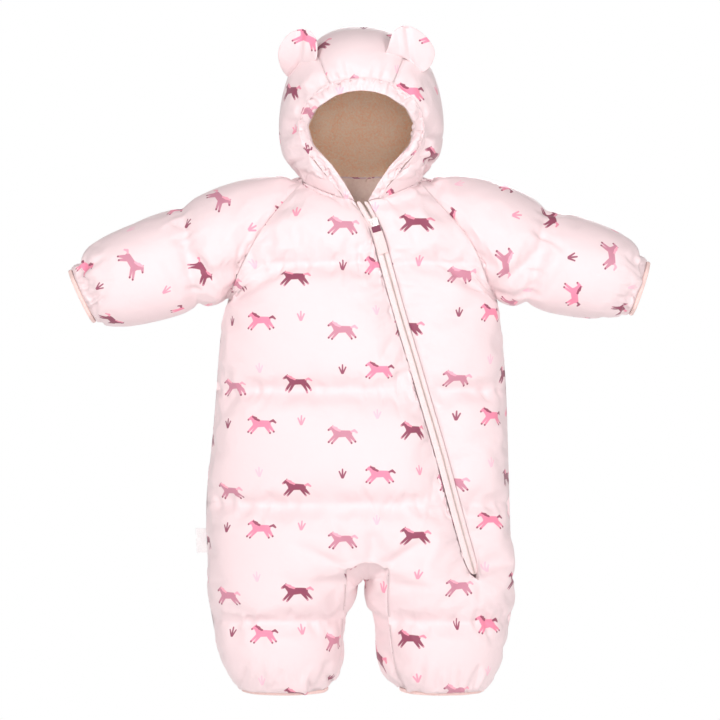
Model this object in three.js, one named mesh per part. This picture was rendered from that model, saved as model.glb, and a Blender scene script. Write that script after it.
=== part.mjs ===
// A baby's padded, hooded snowsuit for about 6 to 9 months, filled out as if worn.
// Millimetres. +Z is up and the front faces -Y. The origin is the middle of the neck,
// where the wearer's shoulders hold the suit. Left and right are the wearer's, so the
// right sleeve lies on the -X side.
import * as THREE from 'three';

// Driving dimensions of the cloth
const WALL = 3; // shell, wadding and lining pressed together at a seam
const SEAM_GAP = 0.3; // space between two pieces along their seam
const BODY_LOFT = 8; // how far the wadding lifts the shell between two quilt lines
const SLEEVE_LOFT = 6;
const HOOD_LOFT = 4;
const LOFT_RISE = 34; // distance from a seam over which the loft builds up
const BODY_MIDDLE = 3; // the middle of the body, a little off the middle of the neck

// Body from the underarm down: side seams, and half depth in front and behind
const BODY_SECTIONS = [
  { height: -15, left: -152, right: 158, front: 54, back: 56 },
  { height: -60, left: -152, right: 158, front: 60, back: 58 },
  { height: -128, left: -152, right: 158, front: 64, back: 60 },
  { height: -163, left: -160, right: 163, front: 66, back: 62 },
  { height: -229, left: -165, right: 168, front: 68, back: 65 },
  { height: -290, left: -170, right: 170, front: 71, back: 70 },
  { height: -359, left: -177, right: 172, front: 74, back: 76 },
  { height: -425, left: -175, right: 174, front: 74, back: 80 },
  { height: -460, left: -175, right: 176, front: 70, back: 76 },
  { height: -492, left: -170, right: 173, front: 66, back: 68 },
  { height: -529, left: -162, right: 163, front: 60, back: 60 },
  { height: -555, left: -149, right: 153, front: 54, back: 54 },
  { height: -571, left: -137, right: 143, front: 46, back: 46 },
];

// Legs from the crotch down: inner edges, front and back inseams of the two legs
const LEG_SECTIONS = [
  {
    height: -430, rightInner: 1, leftInner: 1,
    rightSeam: -15, leftSeam: 32, rightBack: -22, leftBack: 34, depth: 66,
  },
  {
    height: -460, rightInner: -3, leftInner: 5,
    rightSeam: -16, leftSeam: 31, rightBack: -24, leftBack: 34, depth: 65,
  },
  {
    height: -480, rightInner: -13, leftInner: 10,
    rightSeam: -18, leftSeam: 31, rightBack: -26, leftBack: 35, depth: 64,
  },
  {
    height: -504, rightInner: -18, leftInner: 18,
    rightSeam: -20, leftSeam: 34, rightBack: -29, leftBack: 38, depth: 63,
  },
  {
    height: -529, rightInner: -19, leftInner: 20,
    rightSeam: -21, leftSeam: 37, rightBack: -32, leftBack: 42, depth: 59,
  },
  {
    height: -550, rightInner: -22, leftInner: 22,
    rightSeam: -25, leftSeam: 41, rightBack: -36, leftBack: 46, depth: 55,
  },
  {
    height: -562, rightInner: -28, leftInner: 30,
    rightSeam: -31, leftSeam: 46, rightBack: -44, leftBack: 52, depth: 51,
  },
  {
    height: -571, rightInner: -37, leftInner: 45,
    rightSeam: -42, leftSeam: 58, rightBack: -54, leftBack: 66, depth: 47,
  },
];
const LEGS_BEGIN = -400; // the body starts to part into two legs
const LEGS_PARTED = -490;
const CROTCH_LOW = -446; // lowest point of the gusset between the legs
const CROTCH_X = 8;
const CROTCH_FLAT = 31; // the cloth lies flat this near to the crotch

// The slanting zip, the crotch columns of the front and those of the back, by height
const ZIP_END_HEIGHT = -442;
const ZIP_LINE = [
  { height: -15, x: 2 },
  { height: -45, x: 18 },
  { height: -83, x: 29 },
  { height: -141, x: 45 },
  { height: -194, x: 61 },
  { height: -232, x: 72 },
  { height: -299, x: 92 },
  { height: -355, x: 107 },
  { height: -409, x: 122 },
  { height: -442, x: 131 },
  { height: -492, x: 135 },
  { height: -529, x: 129 },
  { height: -571, x: 117 },
];
const SLIT_RIGHT = 8; // from the zip line to the edge of the cloth on each side
const SLIT_LEFT = 6.5;
const CROTCH_COLUMNS = [
  { height: -15, frontRight: -34, frontLeft: -14, backRight: -9, backLeft: 13 },
  { height: -128, frontRight: -32, frontLeft: 6, backRight: -14, backLeft: 20 },
  { height: -290, frontRight: -22, frontLeft: 28, backRight: -20, backLeft: 30 },
  { height: -430, frontRight: -15, frontLeft: 32, backRight: -22, backLeft: 34 },
];

// Raglan seams from the neck to the underarm
const RAGLAN = [
  { along: 0, right: -65.5, left: 68.5, front: -24, back: 30, height: 8, backX: 0.94, backHeight: 19 },
  { along: 0.28, right: -96, left: 98, front: -42, back: 46, height: -26, backX: 0.96, backHeight: -18 },
  { along: 0.46, right: -114, left: 120, front: -47, back: 50, height: -50, backX: 0.97, backHeight: -44 },
  { along: 0.64, right: -129, left: 135, front: -43, back: 46, height: -77, backX: 0.99, backHeight: -73 },
  { along: 0.78, right: -139, left: 142, front: -35, back: 37, height: -97, backX: 1, backHeight: -95 },
  { along: 0.9, right: -146, left: 149, front: -20, back: 21, height: -115, backX: 1, backHeight: -115 },
  { along: 1, right: -152, left: 158, front: 0, back: 0, height: -128, backX: 1, backHeight: -128 },
];

// Rows of the body panels: raglan rows with their height at the zip, then level rows
const RAGLAN_ROWS = [
  { along: 0, zipHeight: -15 },
  { along: 0.12, zipHeight: -27 },
  { along: 0.3, zipHeight: -44 },
  { along: 0.48, zipHeight: -59 },
  { along: 0.64, zipHeight: -72 },
  { along: 0.78, zipHeight: -85 },
  { along: 0.9, zipHeight: -106 },
  { along: 1, zipHeight: -128 },
];
const LEVEL_ROWS = [-152, -178, -204, -229, -254, -280, -308, -334, -359, -382, -406];
const ARCH_ROW = -430;
const ARCH_RISE = 11; // the front is cut higher between the legs
const LEG_ROWS = [-444, -460, -476, -492, -510, -530, -548, -561, -571];
const QUILT_LINES = [-15, -85, -229, -359, -492, -585];

// Columns of each group of the panels
const OUTER_COLUMNS = 6; // from a side seam to the crotch column
const CROTCH_COLUMN_COUNT = 2;
const ZIP_COLUMNS = 4; // from the crotch column to the zip, and from the zip to the side seam
const GUSSET_COLUMNS = 4;

// Hood as nine arches from the face edge to the back of the neck. Each arch runs from the
// neck seam by cheek, widest point and brow to the top; x is half a width.
const HOOD_MIDDLE = 1.5;
const HOOD_ARCHES = [
  {
    neck: [7.5, -52, -15], cheek: [29, -61, 20], wide: [61, -64, 58],
    brow: [46, -73, 92], top: [0, -80, 107],
  },
  {
    neck: [19, -53, -13], cheek: [46, -61, 20], wide: [73, -56, 57],
    brow: [57, -68, 104], top: [0, -82, 121],
  },
  {
    neck: [34, -49, -9], cheek: [62, -52, 22], wide: [82, -40, 64],
    brow: [64, -50, 134], top: [0, -68, 158],
  },
  {
    neck: [52, -39, -1], cheek: [74, -38, 28], wide: [86, -14, 78],
    brow: [66, -22, 152], top: [0, -34, 178],
  },
  {
    neck: [67, -24, 8], cheek: [80, -16, 36], wide: [87, 10, 84],
    brow: [66, 10, 156], top: [0, 12, 183],
  },
  {
    neck: [72, 4, 17], cheek: [82, 14, 40], wide: [85, 44, 78],
    brow: [62, 50, 146], top: [0, 58, 170],
  },
  {
    neck: [64, 30, 19], cheek: [74, 43, 31], wide: [74, 68, 56],
    brow: [52, 81, 104], top: [0, 92, 126],
  },
  { neck: [57, 40, 18], cheek: [58, 55, 22], wide: [52, 72, 32], brow: [33, 89, 52], top: [0, 98, 64] },
  {
    neck: [49, 46, 17], cheek: [42, 50, 16.5], wide: [31, 54, 16],
    brow: [16, 57, 15.5], top: [0, 58, 15],
  },
];
const CASING_ARCH = 1; // the elastic casing ends here and the hood's three panels begin
const FRONT_RAGLAN_ARCH = 4;
const BACK_RAGLAN_ARCH = 6;
const LAST_ARCH = 8;
const STRIP_EDGE_FRONT = 3.42; // where the centre panel begins along an arch of length 4
const STRIP_EDGE_BACK = 2.6;
const HOOD_SIDE_COLUMNS = 6;
const HOOD_CENTRE_COLUMNS = 4;
const CASING_GATHERS_PER_COLUMN = 2;
const CASING_GATHER_DEPTH = 1.6;

// Sleeves: upper and lower edge of each section seen from the front, and half depth
const RIGHT_SLEEVE = [
  { reach: 0.2, topX: -142, topZ: 2, lowX: -167, lowZ: -130, depth: 50 },
  { reach: 0.44, topX: -205, topZ: -20, lowX: -185, lowZ: -134, depth: 50 },
  { reach: 0.7, topX: -262, topZ: -46, lowX: -228, lowZ: -143, depth: 45 },
  { reach: 0.88, topX: -307, topZ: -67, lowX: -274, lowZ: -152, depth: 39 },
  { reach: 1, topX: -331, topZ: -91, lowX: -303, lowZ: -151, depth: 27 },
];
const LEFT_SLEEVE = [
  { reach: 0.2, topX: 150, topZ: 5, lowX: 173, lowZ: -130, depth: 50 },
  { reach: 0.44, topX: 215, topZ: -22, lowX: 191, lowZ: -132, depth: 50 },
  { reach: 0.7, topX: 268, topZ: -43, lowX: 234, lowZ: -138, depth: 45 },
  { reach: 0.88, topX: 308, topZ: -61, lowX: 276, lowZ: -143, depth: 39 },
  { reach: 1, topX: 329, topZ: -82, lowX: 309, lowZ: -143, depth: 27 },
];
const SLEEVE_RINGS = [0, 0.07, 0.14, 0.22, 0.33, 0.44, 0.57, 0.7, 0.8, 0.88, 0.95, 1];
const SLEEVE_QUILTS = [0, 0.44, 1.06];
const SLEEVE_NECK_SEGMENTS = 4;
const SLEEVE_NECK_ANGLE = 27; // half the part of a ring that comes from the neck edge, in degrees

// Bindings, zip and small parts
const BINDING_LENGTH = 5;
const BINDING_EXTRA = 0.8; // how much thicker the binding is than the wall that it closes
const GATHER_DEPTH = 1.8;
const TAPE_THICKNESS = 1.4;
const TAPE_RECESS = 0.7; // how deep the tape lies under the shell's surface
const COIL_OPEN = 1.2; // how far each half of the coil stands from the zip line above the slider
const COIL_RISE = 0.5;
const TAPE_END = 0.6; // how far the tapes reach into the tapering end of the slit
const SLIDER_HEIGHT = -42;
const LINING_SPACE = 0.5; // between the hood and its fleece, and between the back and its facing
const FLEECE = 1.8;
const FACING = 1;
const FACING_HALF_WIDTH = 52;
const FACING_ROWS = 3;
const EAR_THICKNESS = 12;
const EAR_BASE = 5;

// Ears: foot on the hood (arch, place along it), how high the front and back of the base sit on
// the hood there, and the round edge seen from the front
const RIGHT_EAR = [
  { part: 0, arch: 1.95, place: 3.25, front: -0.6, back: 0.7, x: -48, y: -61, z: 150 },
  { part: 0.2, arch: 2.1, place: 3.13, front: -1.9, back: -0.2, x: -49, y: -62, z: 168 },
  { part: 0.4, arch: 2.35, place: 3, front: -1.9, back: -0.6, x: -61, y: -58, z: 179 },
  { part: 0.6, arch: 2.6, place: 2.87, front: -0.4, back: -0.4, x: -81, y: -50, z: 175 },
  { part: 0.8, arch: 2.9, place: 2.72, front: 3.3, back: 2.3, x: -94, y: -40, z: 155 },
  { part: 1, arch: 3.2, place: 2.6, front: 5.0, back: 4.2, x: -90, y: -24, z: 136 },
];
const LEFT_EAR = [
  { part: 0, arch: 1.85, place: 3.62, front: 0.9, back: 1.9, x: 31, y: -72, z: 153 },
  { part: 0.2, arch: 1.9, place: 3.48, front: -0.9, back: 1.9, x: 37, y: -73, z: 174 },
  { part: 0.4, arch: 1.95, place: 3.33, front: -1.2, back: 2.1, x: 54, y: -69, z: 182 },
  { part: 0.6, arch: 2, place: 3.18, front: -1.3, back: 0.8, x: 74, y: -60, z: 171 },
  { part: 0.8, arch: 2.05, place: 3.03, front: -1.8, back: 0.2, x: 86, y: -52, z: 153 },
  { part: 1, arch: 2.1, place: 2.88, front: -0.3, back: 0.8, x: 79, y: -48, z: 135 },
];

// Slider and pull in the slider's own directions: across the zip, down it and out of the cloth
const SLIDER_HALF = 5;
const SLIDER_END = 7;
const SLIDER_UNDER = 0.4;
const SLIDER_TAPER = 0.02;
const HOOK_HALF = 1.9;
const HOOK_FLANK = 0.02;
const HOOK_START = -4.6;
const HOOK_STEP = 0.1;
const HOOK_FOOT = 2.2;
const SLIDER_PLATE = [
  { down: -7, top: 1.9 },
  { down: -5, top: 2.2 },
  { down: 5, top: 2.2 },
  { down: 7, top: 1.7 },
];
// The hook over the plate that holds the pull's wire
const SLIDER_HOOK = [
  { down: -4.6, top: 2.2 },
  { down: -4.6, top: 4.6 },
  { down: -4, top: 5.2 },
  { down: 0.6, top: 5.2 },
  { down: 1, top: 4.6 },
  { down: 1, top: 2.6 },
  { down: 0, top: 2.6 },
  { down: 0, top: 4.2 },
  { down: -3.6, top: 4.2 },
  { down: -3.6, top: 2.2 },
];
const PULL_BLOCK = [
  { down: 2.8, half: 4.4, low: 2.7, high: 4.8 },
  { down: 3.4, half: 5, low: 2.5, high: 5 },
  { down: 9, half: 5, low: 2.5, high: 5 },
  { down: 9.6, half: 4.6, low: 2.7, high: 4.8 },
];
const PULL_TAB = [
  { down: 9.9, half: 5.4, low: 2.8, high: 4.4 },
  { down: 20, half: 5.7, low: 2.1, high: 3.8 },
  { down: 35, half: 5.9, low: 1, high: 2.6 },
];
const PIVOT_DOWN = -1.9;
const PIVOT_OUT = 3.2;
const WIRE = 0.6; // radius of the pull's wire
const BAIL_ROUTE = [
  { across: -3.4, down: 2.5 },
  { across: -3.4, down: PIVOT_DOWN + 0.5 },
  { across: -2.9, down: PIVOT_DOWN },
  { across: 2.9, down: PIVOT_DOWN },
  { across: 3.4, down: PIVOT_DOWN + 0.5 },
  { across: 3.4, down: 2.5 },
];
const LOOP_TALL = 1.3;
const LABEL = { top: -389, bottom: -417, width: 12, thickness: 0.9 };

const vec = (x, y, z) => new THREE.Vector3(x, y, z);

function clamp(value, low, high) {
  return Math.min(Math.max(value, low), high);
}

function smoothStep(value) {
  const t = clamp(value, 0, 1);
  return t * t * (3 - 2 * t);
}

// Smooth value of a named column between the rows of a table
function along(rows, key, name, where) {
  const last = rows.length - 1;
  const forward = Math.sign(rows[last][key] - rows[0][key]);
  let i = 0;
  while (i < last - 1 && (where - rows[i + 1][key]) * forward > 0) {
    i += 1;
  }
  const slope = (j) => {
    const before = rows[Math.max(j - 1, 0)];
    const after = rows[Math.min(j + 1, last)];
    return (after[name] - before[name]) / (after[key] - before[key]);
  };
  const span = rows[i + 1][key] - rows[i][key];
  const t = clamp((where - rows[i][key]) / span, 0, 1);
  const t2 = t * t;
  const t3 = t2 * t;
  const start = (2 * t3 - 3 * t2 + 1) * rows[i][name] + (t3 - 2 * t2 + t) * span * slope(i);
  const end = (3 * t2 - 2 * t3) * rows[i + 1][name] + (t3 - t2) * span * slope(i + 1);
  return start + end;
}

// Cloth sheets and the walls made from them
class Sheet {
  constructor(name) {
    this.name = name;
    this.points = [];
    this.lofts = [];
    this.faces = [];
    this.rowStarts = [];
    this.between = new Map();
  }

  add(point, loft = 0) {
    this.points.push(point.clone());
    this.lofts.push(loft);
    return this.points.length - 1;
  }

  row(points, lofts) {
    this.rowStarts.push(this.points.length);
    return points.map((point, i) => this.add(point, lofts ? lofts[i] : 0));
  }

  // Joins two rows of indices, which may have different counts
  join(upper, lower, mirrored = false) {
    if (mirrored) {
      const before = this.faces.length;
      this.join([...upper].reverse(), [...lower].reverse());
      this.faces = this.faces.map(([a, b, c], i) => (i < before ? [a, b, c] : [a, c, b]));
      return;
    }
    let i = 0;
    let j = 0;
    const rows = [upper.length - 1, lower.length - 1];
    while (i < rows[0] || j < rows[1]) {
      const nextUpper = (i + 1) / rows[0];
      const nextLower = (j + 1) / rows[1];
      if (j < rows[1] && nextLower <= nextUpper + 1e-9) {
        this.faces.push([upper[i], lower[j], lower[j + 1]]);
        j += 1;
      } else {
        this.faces.push([upper[i], lower[j], upper[i + 1]]);
        i += 1;
      }
    }
  }

  // Turns the faces so that they look away from an inner point
  lookAwayFrom(centre) {
    let sum = 0;
    for (const [a, b, c] of this.faces) {
      const p = this.points[a];
      const normal = this.points[b].clone().sub(p).cross(this.points[c].clone().sub(p));
      sum += normal.dot(p.clone().sub(centre));
    }
    if (sum < 0) {
      this.faces = this.faces.map(([a, b, c]) => [a, c, b]);
    }
    return this;
  }

  normals() {
    const sums = this.points.map(() => vec(0, 0, 0));
    for (const face of this.faces) {
      const [p, q, r] = face.map((i) => this.points[i]);
      const normal = q.clone().sub(p).cross(r.clone().sub(p));
      face.forEach((i) => sums[i].add(normal));
    }
    return sums.map((sum) => sum.normalize());
  }

  rimEdges() {
    const used = new Map();
    for (const [a, b, c] of this.faces) {
      for (const [from, to] of [[a, b], [b, c], [c, a]]) {
        used.set(`${from},${to}`, [from, to]);
      }
    }
    return [...used.values()].filter(([from, to]) => !used.has(`${to},${from}`));
  }
}

const placeKey = (p) => [p.x, p.y, p.z].map((value) => Math.round(value * 100)).join(',');
const seamNormals = new Map();

function shareNormals(sheets) {
  for (const sheet of sheets) {
    sheet.normals().forEach((normal, i) => {
      const key = placeKey(sheet.points[i]);
      if (!seamNormals.has(key)) {
        seamNormals.set(key, vec(0, 0, 0));
      }
      seamNormals.get(key).add(normal);
    });
  }
}

// Points of the sheet with the seam's shared normals and the seam gap taken off its rim
function seatedPoints(sheet, gap) {
  const own = sheet.normals();
  const normals = sheet.points.map((point, i) => {
    const shared = seamNormals.get(placeKey(point));
    return (shared || own[i]).clone().normalize();
  });
  const pulls = new Map();
  for (const [from, to] of sheet.rimEdges()) {
    const edge = sheet.points[to].clone().sub(sheet.points[from]).normalize();
    for (const i of [from, to]) {
      const inward = normals[i].clone().cross(edge).normalize();
      if (!pulls.has(i)) {
        pulls.set(i, []);
      }
      pulls.get(i).push(inward);
    }
  }
  const points = sheet.points.map((point) => point.clone());
  for (const [i, [first, second]] of pulls) {
    const both = second ? first.clone().add(second) : first.clone();
    const scale = second ? 1 + first.dot(second) : 1;
    points[i].addScaledVector(both, gap / 2 / Math.max(scale, 0.4));
  }
  return { points, normals };
}

function solid(positions, faces) {
  const geometry = new THREE.BufferGeometry();
  const flat = positions.flatMap((p) => [p.x, p.y, p.z]);
  geometry.setAttribute('position', new THREE.Float32BufferAttribute(flat, 3));
  geometry.setIndex(faces.flat());
  geometry.computeVertexNormals();
  return geometry;
}

// Closed wall over a sheet: outside lifted by the loft, inside plain
function wall(sheet, options = {}) {
  const { inside = WALL, outside = 0, gap = SEAM_GAP } = options;
  const { points, normals } = seatedPoints(sheet, gap);
  const count = points.length;
  const outer = points.map((p, i) => p.clone().addScaledVector(normals[i], outside + sheet.lofts[i]));
  const inner = points.map((p, i) => p.clone().addScaledVector(normals[i], -inside));
  for (const [i, [from, to, part]] of sheet.between) {
    outer[i].lerpVectors(outer[from], outer[to], part);
    inner[i].lerpVectors(inner[from], inner[to], part);
  }
  const faces = [];
  for (const [a, b, c] of sheet.faces) {
    faces.push([a, b, c], [c + count, b + count, a + count]);
  }
  // Two pieces split their facing rims along the same diagonal
  for (const [from, to] of sheet.rimEdges()) {
    if (placeKey(sheet.points[from]) < placeKey(sheet.points[to])) {
      faces.push([to, from, from + count], [to, from + count, to + count]);
    } else {
      faces.push([to, from, to + count], [from, from + count, to + count]);
    }
  }
  return solid([...outer, ...inner], faces);
}

// Closed solid through a run of polygons with equal numbers of corners
function sweep(sections, ring = false) {
  const corners = sections[0].length;
  const points = sections.flat();
  let faces = [];
  const steps = ring ? sections.length : sections.length - 1;
  for (let i = 0; i < steps; i += 1) {
    const next = (i + 1) % sections.length;
    for (let j = 0; j < corners; j += 1) {
      const k = (j + 1) % corners;
      const [a, b] = [i * corners + j, i * corners + k];
      const [c, d] = [next * corners + j, next * corners + k];
      faces.push([a, c, b], [b, c, d]);
    }
  }
  if (!ring) {
    const end = (sections.length - 1) * corners;
    for (let j = 1; j < corners - 1; j += 1) {
      faces.push([0, j, j + 1], [end, end + j + 1, end + j]);
    }
  }
  let volume = 0;
  for (const [a, b, c] of faces) {
    volume += points[a].dot(points[b].clone().cross(points[c]));
  }
  if (volume < 0) {
    faces = faces.map(([a, b, c]) => [a, c, b]);
  }
  return solid(points, faces);
}

// Body: depth of the front (-1) or back (+1) at a place of the body
function halfWidths(height) {
  const left = BODY_MIDDLE - along(BODY_SECTIONS, 'height', 'left', height);
  const right = along(BODY_SECTIONS, 'height', 'right', height) - BODY_MIDDLE;
  return { [-1]: left, [1]: right };
}

function bodyDepth(height, face) {
  return along(BODY_SECTIONS, 'height', face < 0 ? 'front' : 'back', height);
}

function legRing(side, height) {
  const outer = along(BODY_SECTIONS, 'height', side < 0 ? 'left' : 'right', height);
  const inner = along(LEG_SECTIONS, 'height', side < 0 ? 'rightInner' : 'leftInner', height);
  const depth = along(LEG_SECTIONS, 'height', 'depth', height);
  return { centre: (outer + inner) / 2, half: Math.abs(outer - inner) / 2, depth };
}

function arc(ratio) {
  return Math.sqrt(Math.max(1 - ratio * ratio, 0));
}

// Places between two x values, evenly spread by angle round a ring
function spread(from, to, count, centre, half) {
  const angle = (x) => Math.asin(clamp((x - centre) / half, -1, 1));
  const list = [];
  for (let i = 0; i <= count; i += 1) {
    const turn = angle(from) + ((angle(to) - angle(from)) * i) / count;
    list.push(centre + half * Math.sin(turn));
  }
  return list;
}

function raglanPoint(side, face, where) {
  const value = (name) => along(RAGLAN, 'along', name, where);
  const x = value(side < 0 ? 'right' : 'left');
  if (where === 1) {
    return vec(x, 0, value('height'));
  }
  if (face < 0) {
    return vec(x, value('front'), value('height'));
  }
  return vec(x * value('backX'), value('back'), value('backHeight'));
}

const zipX = (height) => along(ZIP_LINE, 'height', 'x', height);

// Height along a raglan row: it climbs from the zip or the middle of the back to the raglan
function rowHeight(row, face, x, edge) {
  const middle = face < 0 ? row.zipHeight : row.zipHeight + 30 * (1 - row.along);
  const from = face < 0 ? zipX(row.zipHeight) : BODY_MIDDLE;
  const t = clamp((x - from) / (edge.x - from), 0, 1);
  return middle + (edge.z - middle) * t * t;
}

// One half of a raglan row between two x values, given as fractions of the way to the edge
function raglanRow(row, face, side, xs) {
  const edge = raglanPoint(side, face, row.along);
  const depth = bodyDepth(row.zipHeight, face);
  const reach = Math.abs(edge.x - BODY_MIDDLE) / arc(edge.y / depth);
  return xs.map((x) => {
    if (Math.abs(x - edge.x) < 1e-6) {
      return edge.clone();
    }
    const sameSide = x < BODY_MIDDLE === side < 0;
    const farEdge = raglanPoint(-side, face, row.along);
    const own = sameSide ? reach : Math.abs(farEdge.x - BODY_MIDDLE) / arc(farEdge.y / depth);
    return vec(x, face * depth * arc((x - BODY_MIDDLE) / own), rowHeight(row, face, x, edge));
  });
}

// Change of depth of the front from a point to another place at its height
function frontDepthChange(from, x) {
  const depth = (place) => {
    const half = halfWidths(from.z)[place < BODY_MIDDLE ? -1 : 1];
    return -bodyDepth(from.z, -1) * arc((place - BODY_MIDDLE) / half);
  };
  return depth(x) - depth(from.x);
}

function levelPoints(height, face, xs) {
  const halves = halfWidths(height);
  const depth = bodyDepth(height, face);
  return xs.map((x) => {
    const half = halves[x < BODY_MIDDLE ? -1 : 1];
    return vec(x, face * depth * arc((x - BODY_MIDDLE) / half), height);
  });
}

// Columns between two x values of a level row, parting into legs below the waist
function levelRun(height, face, from, to, count, leg) {
  const halves = halfWidths(height);
  const whole = spread(from, to, count, BODY_MIDDLE, from < BODY_MIDDLE ? halves[-1] : halves[1]);
  const body = levelPoints(height, face, whole);
  const parted = smoothStep((LEGS_BEGIN - height) / (LEGS_BEGIN - LEGS_PARTED));
  if (!leg || parted === 0) {
    return body;
  }
  const ring = legRing(leg, height);
  const legXs = spread(from, to, count, ring.centre, ring.half);
  return legXs.map((legX, i) => {
    const x = body[i].x + (legX - body[i].x) * parted;
    const deep = bodyDepth(height, face) * arc((x - BODY_MIDDLE) / halves[x < BODY_MIDDLE ? -1 : 1]);
    const legDeep = ring.depth * arc((x - ring.centre) / ring.half);
    return vec(x, face * (deep + (legDeep - deep) * parted), height);
  });
}

function loftBetween(quilts, where) {
  const span = quilts.findIndex((quilt, i) => i > 0 && (where - quilt) * (quilts[i] - quilts[i - 1]) <= 0);
  const i = Math.max(span, 1);
  const t = clamp((where - quilts[i - 1]) / (quilts[i] - quilts[i - 1]), 0, 1);
  return Math.sin(Math.PI * t) ** 0.7;
}

// Loft of each point of a row, falling to nothing at the seams that end the row
function rowLofts(points, full, profile) {
  const lengths = [0];
  for (let i = 1; i < points.length; i += 1) {
    lengths.push(lengths[i - 1] + points[i].distanceTo(points[i - 1]));
  }
  const total = lengths[lengths.length - 1];
  return lengths.map((length) => {
    const start = Math.sqrt(smoothStep(length / LOFT_RISE));
    const end = Math.sqrt(smoothStep((total - length) / LOFT_RISE));
    return full * profile * start * end;
  });
}

// Body rows also lie flat round the crotch seam
function bodyLofts(points, height) {
  const lofts = rowLofts(points, BODY_LOFT, loftBetween(QUILT_LINES, height));
  return lofts.map((loft, i) => {
    const away = Math.hypot(points[i].x - CROTCH_X, height - ARCH_ROW) - CROTCH_FLAT;
    return loft * Math.sqrt(smoothStep(away / LOFT_RISE));
  });
}

// Hood surface: arch number from 0 to 8, place along the half arch from 0 (neck) to 4 (top)
const ARCH_POINTS = ['neck', 'cheek', 'wide', 'brow', 'top'];
const HOOD_ROWS = HOOD_ARCHES.map((arch, number) => {
  const row = { number };
  ARCH_POINTS.forEach((name, i) => {
    ['x', 'y', 'z'].forEach((axis, j) => {
      row[`${axis}${i}`] = arch[name][j];
    });
  });
  return row;
});

function hoodPoint(side, arch, place) {
  const knots = [];
  for (let i = 0; i <= 4; i += 1) {
    const value = (axis) => along(HOOD_ROWS, 'number', `${axis}${i}`, arch);
    knots.push({ place: i, x: value('x'), y: value('y'), z: value('z') });
  }
  // The far half mirrors this one, so the arch crosses the top level
  const mirrored = knots.slice(2, 4).reverse();
  mirrored.forEach((knot, i) => {
    knots.push({ place: 5 + i, x: -knot.x, y: knot.y, z: knot.z });
  });
  const value = (axis) => along(knots, 'place', axis, place);
  return vec(HOOD_MIDDLE + side * value('x'), value('y'), value('z'));
}

function stripEdge(arch) {
  const part = Math.max(arch - CASING_ARCH, 0) / (LAST_ARCH - CASING_ARCH);
  return STRIP_EDGE_FRONT + (STRIP_EDGE_BACK - STRIP_EDGE_FRONT) * part;
}

function span(from, to, count) {
  return Array.from({ length: count + 1 }, (unused, i) => from + ((to - from) * i) / count);
}

const CASING_STEPS = span(0, CASING_ARCH, 2);
const HOOD_STEPS = [
  ...span(CASING_ARCH, FRONT_RAGLAN_ARCH, 6),
  ...span(FRONT_RAGLAN_ARCH, BACK_RAGLAN_ARCH, SLEEVE_NECK_SEGMENTS).slice(1),
  ...span(BACK_RAGLAN_ARCH, LAST_ARCH, 3).slice(1),
];

// Half arch from the neck to the edge of the centre panel
function sideArch(side, arch) {
  return span(0, stripEdge(arch), HOOD_SIDE_COLUMNS).map((place) => hoodPoint(side, arch, place));
}

function centreArch(arch) {
  const edge = stripEdge(arch);
  return span(-1, 1, HOOD_CENTRE_COLUMNS).map((t) => {
    const side = t < 0 ? -1 : 1;
    return hoodPoint(side, arch, 4 - Math.abs(t) * (4 - edge));
  });
}

function neckPoint(side, arch) {
  return hoodPoint(side, arch, 0);
}

const HOOD_CENTRE = vec(0, 12, 85);
const HOOD_QUILTS = [CASING_ARCH, LAST_ARCH];

// All the points of an arch, from the right side of the neck over the head to the left
function wholeArch(arch) {
  return [...sideArch(-1, arch), ...centreArch(arch).slice(1, -1), ...sideArch(1, arch).reverse()];
}

function hoodSheet(name, archPoints) {
  const sheet = new Sheet(name);
  let above = null;
  for (const step of HOOD_STEPS) {
    const points = archPoints(step);
    const row = sheet.row(points, rowLofts(points, HOOD_LOFT, loftBetween(HOOD_QUILTS, step)));
    if (above) {
      sheet.join(above, row);
    }
    above = row;
  }
  return sheet.lookAwayFrom(HOOD_CENTRE);
}

// Elastic casing round the face, gathered on its elastic
function casingSheet() {
  const sheet = new Sheet('hood_casing');
  const parts = CASING_GATHERS_PER_COLUMN * 2;
  let above = null;
  for (const step of CASING_STEPS) {
    const coarse = wholeArch(step);
    const points = [];
    const lofts = [];
    for (let i = 0; i < coarse.length; i += 1) {
      const pieces = i < coarse.length - 1 ? parts : 1;
      for (let j = 0; j < pieces; j += 1) {
        const point = j ? coarse[i].clone().lerp(coarse[i + 1], j / parts) : coarse[i];
        points.push(point);
        const open = Math.sin((Math.PI * (CASING_ARCH - step)) / (CASING_ARCH * 1.25));
        lofts.push(1.5 * open + CASING_GATHER_DEPTH * open * (j % 2));
      }
    }
    lofts[0] = 0;
    lofts[lofts.length - 1] = 0;
    const row = sheet.row(points, lofts);
    if (above) {
      sheet.join(above, row);
    }
    above = row;
  }
  // Its seam follows the straight edges of the three panels
  above.forEach((index, i) => {
    const start = i - (i % parts);
    if (i % parts) {
      sheet.between.set(index, [above[start], above[start + parts], (i % parts) / parts]);
    }
  });
  return sheet.lookAwayFrom(HOOD_CENTRE);
}

// Gathers at a hem or cuff: every second point of the ring stands out from its middle
function gathered(point, centre, direction, index, depth) {
  const out = point.clone().sub(centre);
  out.addScaledVector(direction, -out.dot(direction)).normalize();
  return point.clone().addScaledVector(out, index % 2 ? -depth : depth);
}

const DOWN = vec(0, 0, -1);

function legGather(height) {
  return GATHER_DEPTH * smoothStep((-540 - height) / 30);
}

function legCentre(side, height) {
  const ring = legRing(side, height);
  return vec(ring.centre, 0, height);
}

function gatheredLeg(points, side, height, firstIndex) {
  const [centre, depth] = [legCentre(side, height), legGather(height)];
  return points.map((point, i) => gathered(point, centre, DOWN, firstIndex + i, depth));
}

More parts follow.
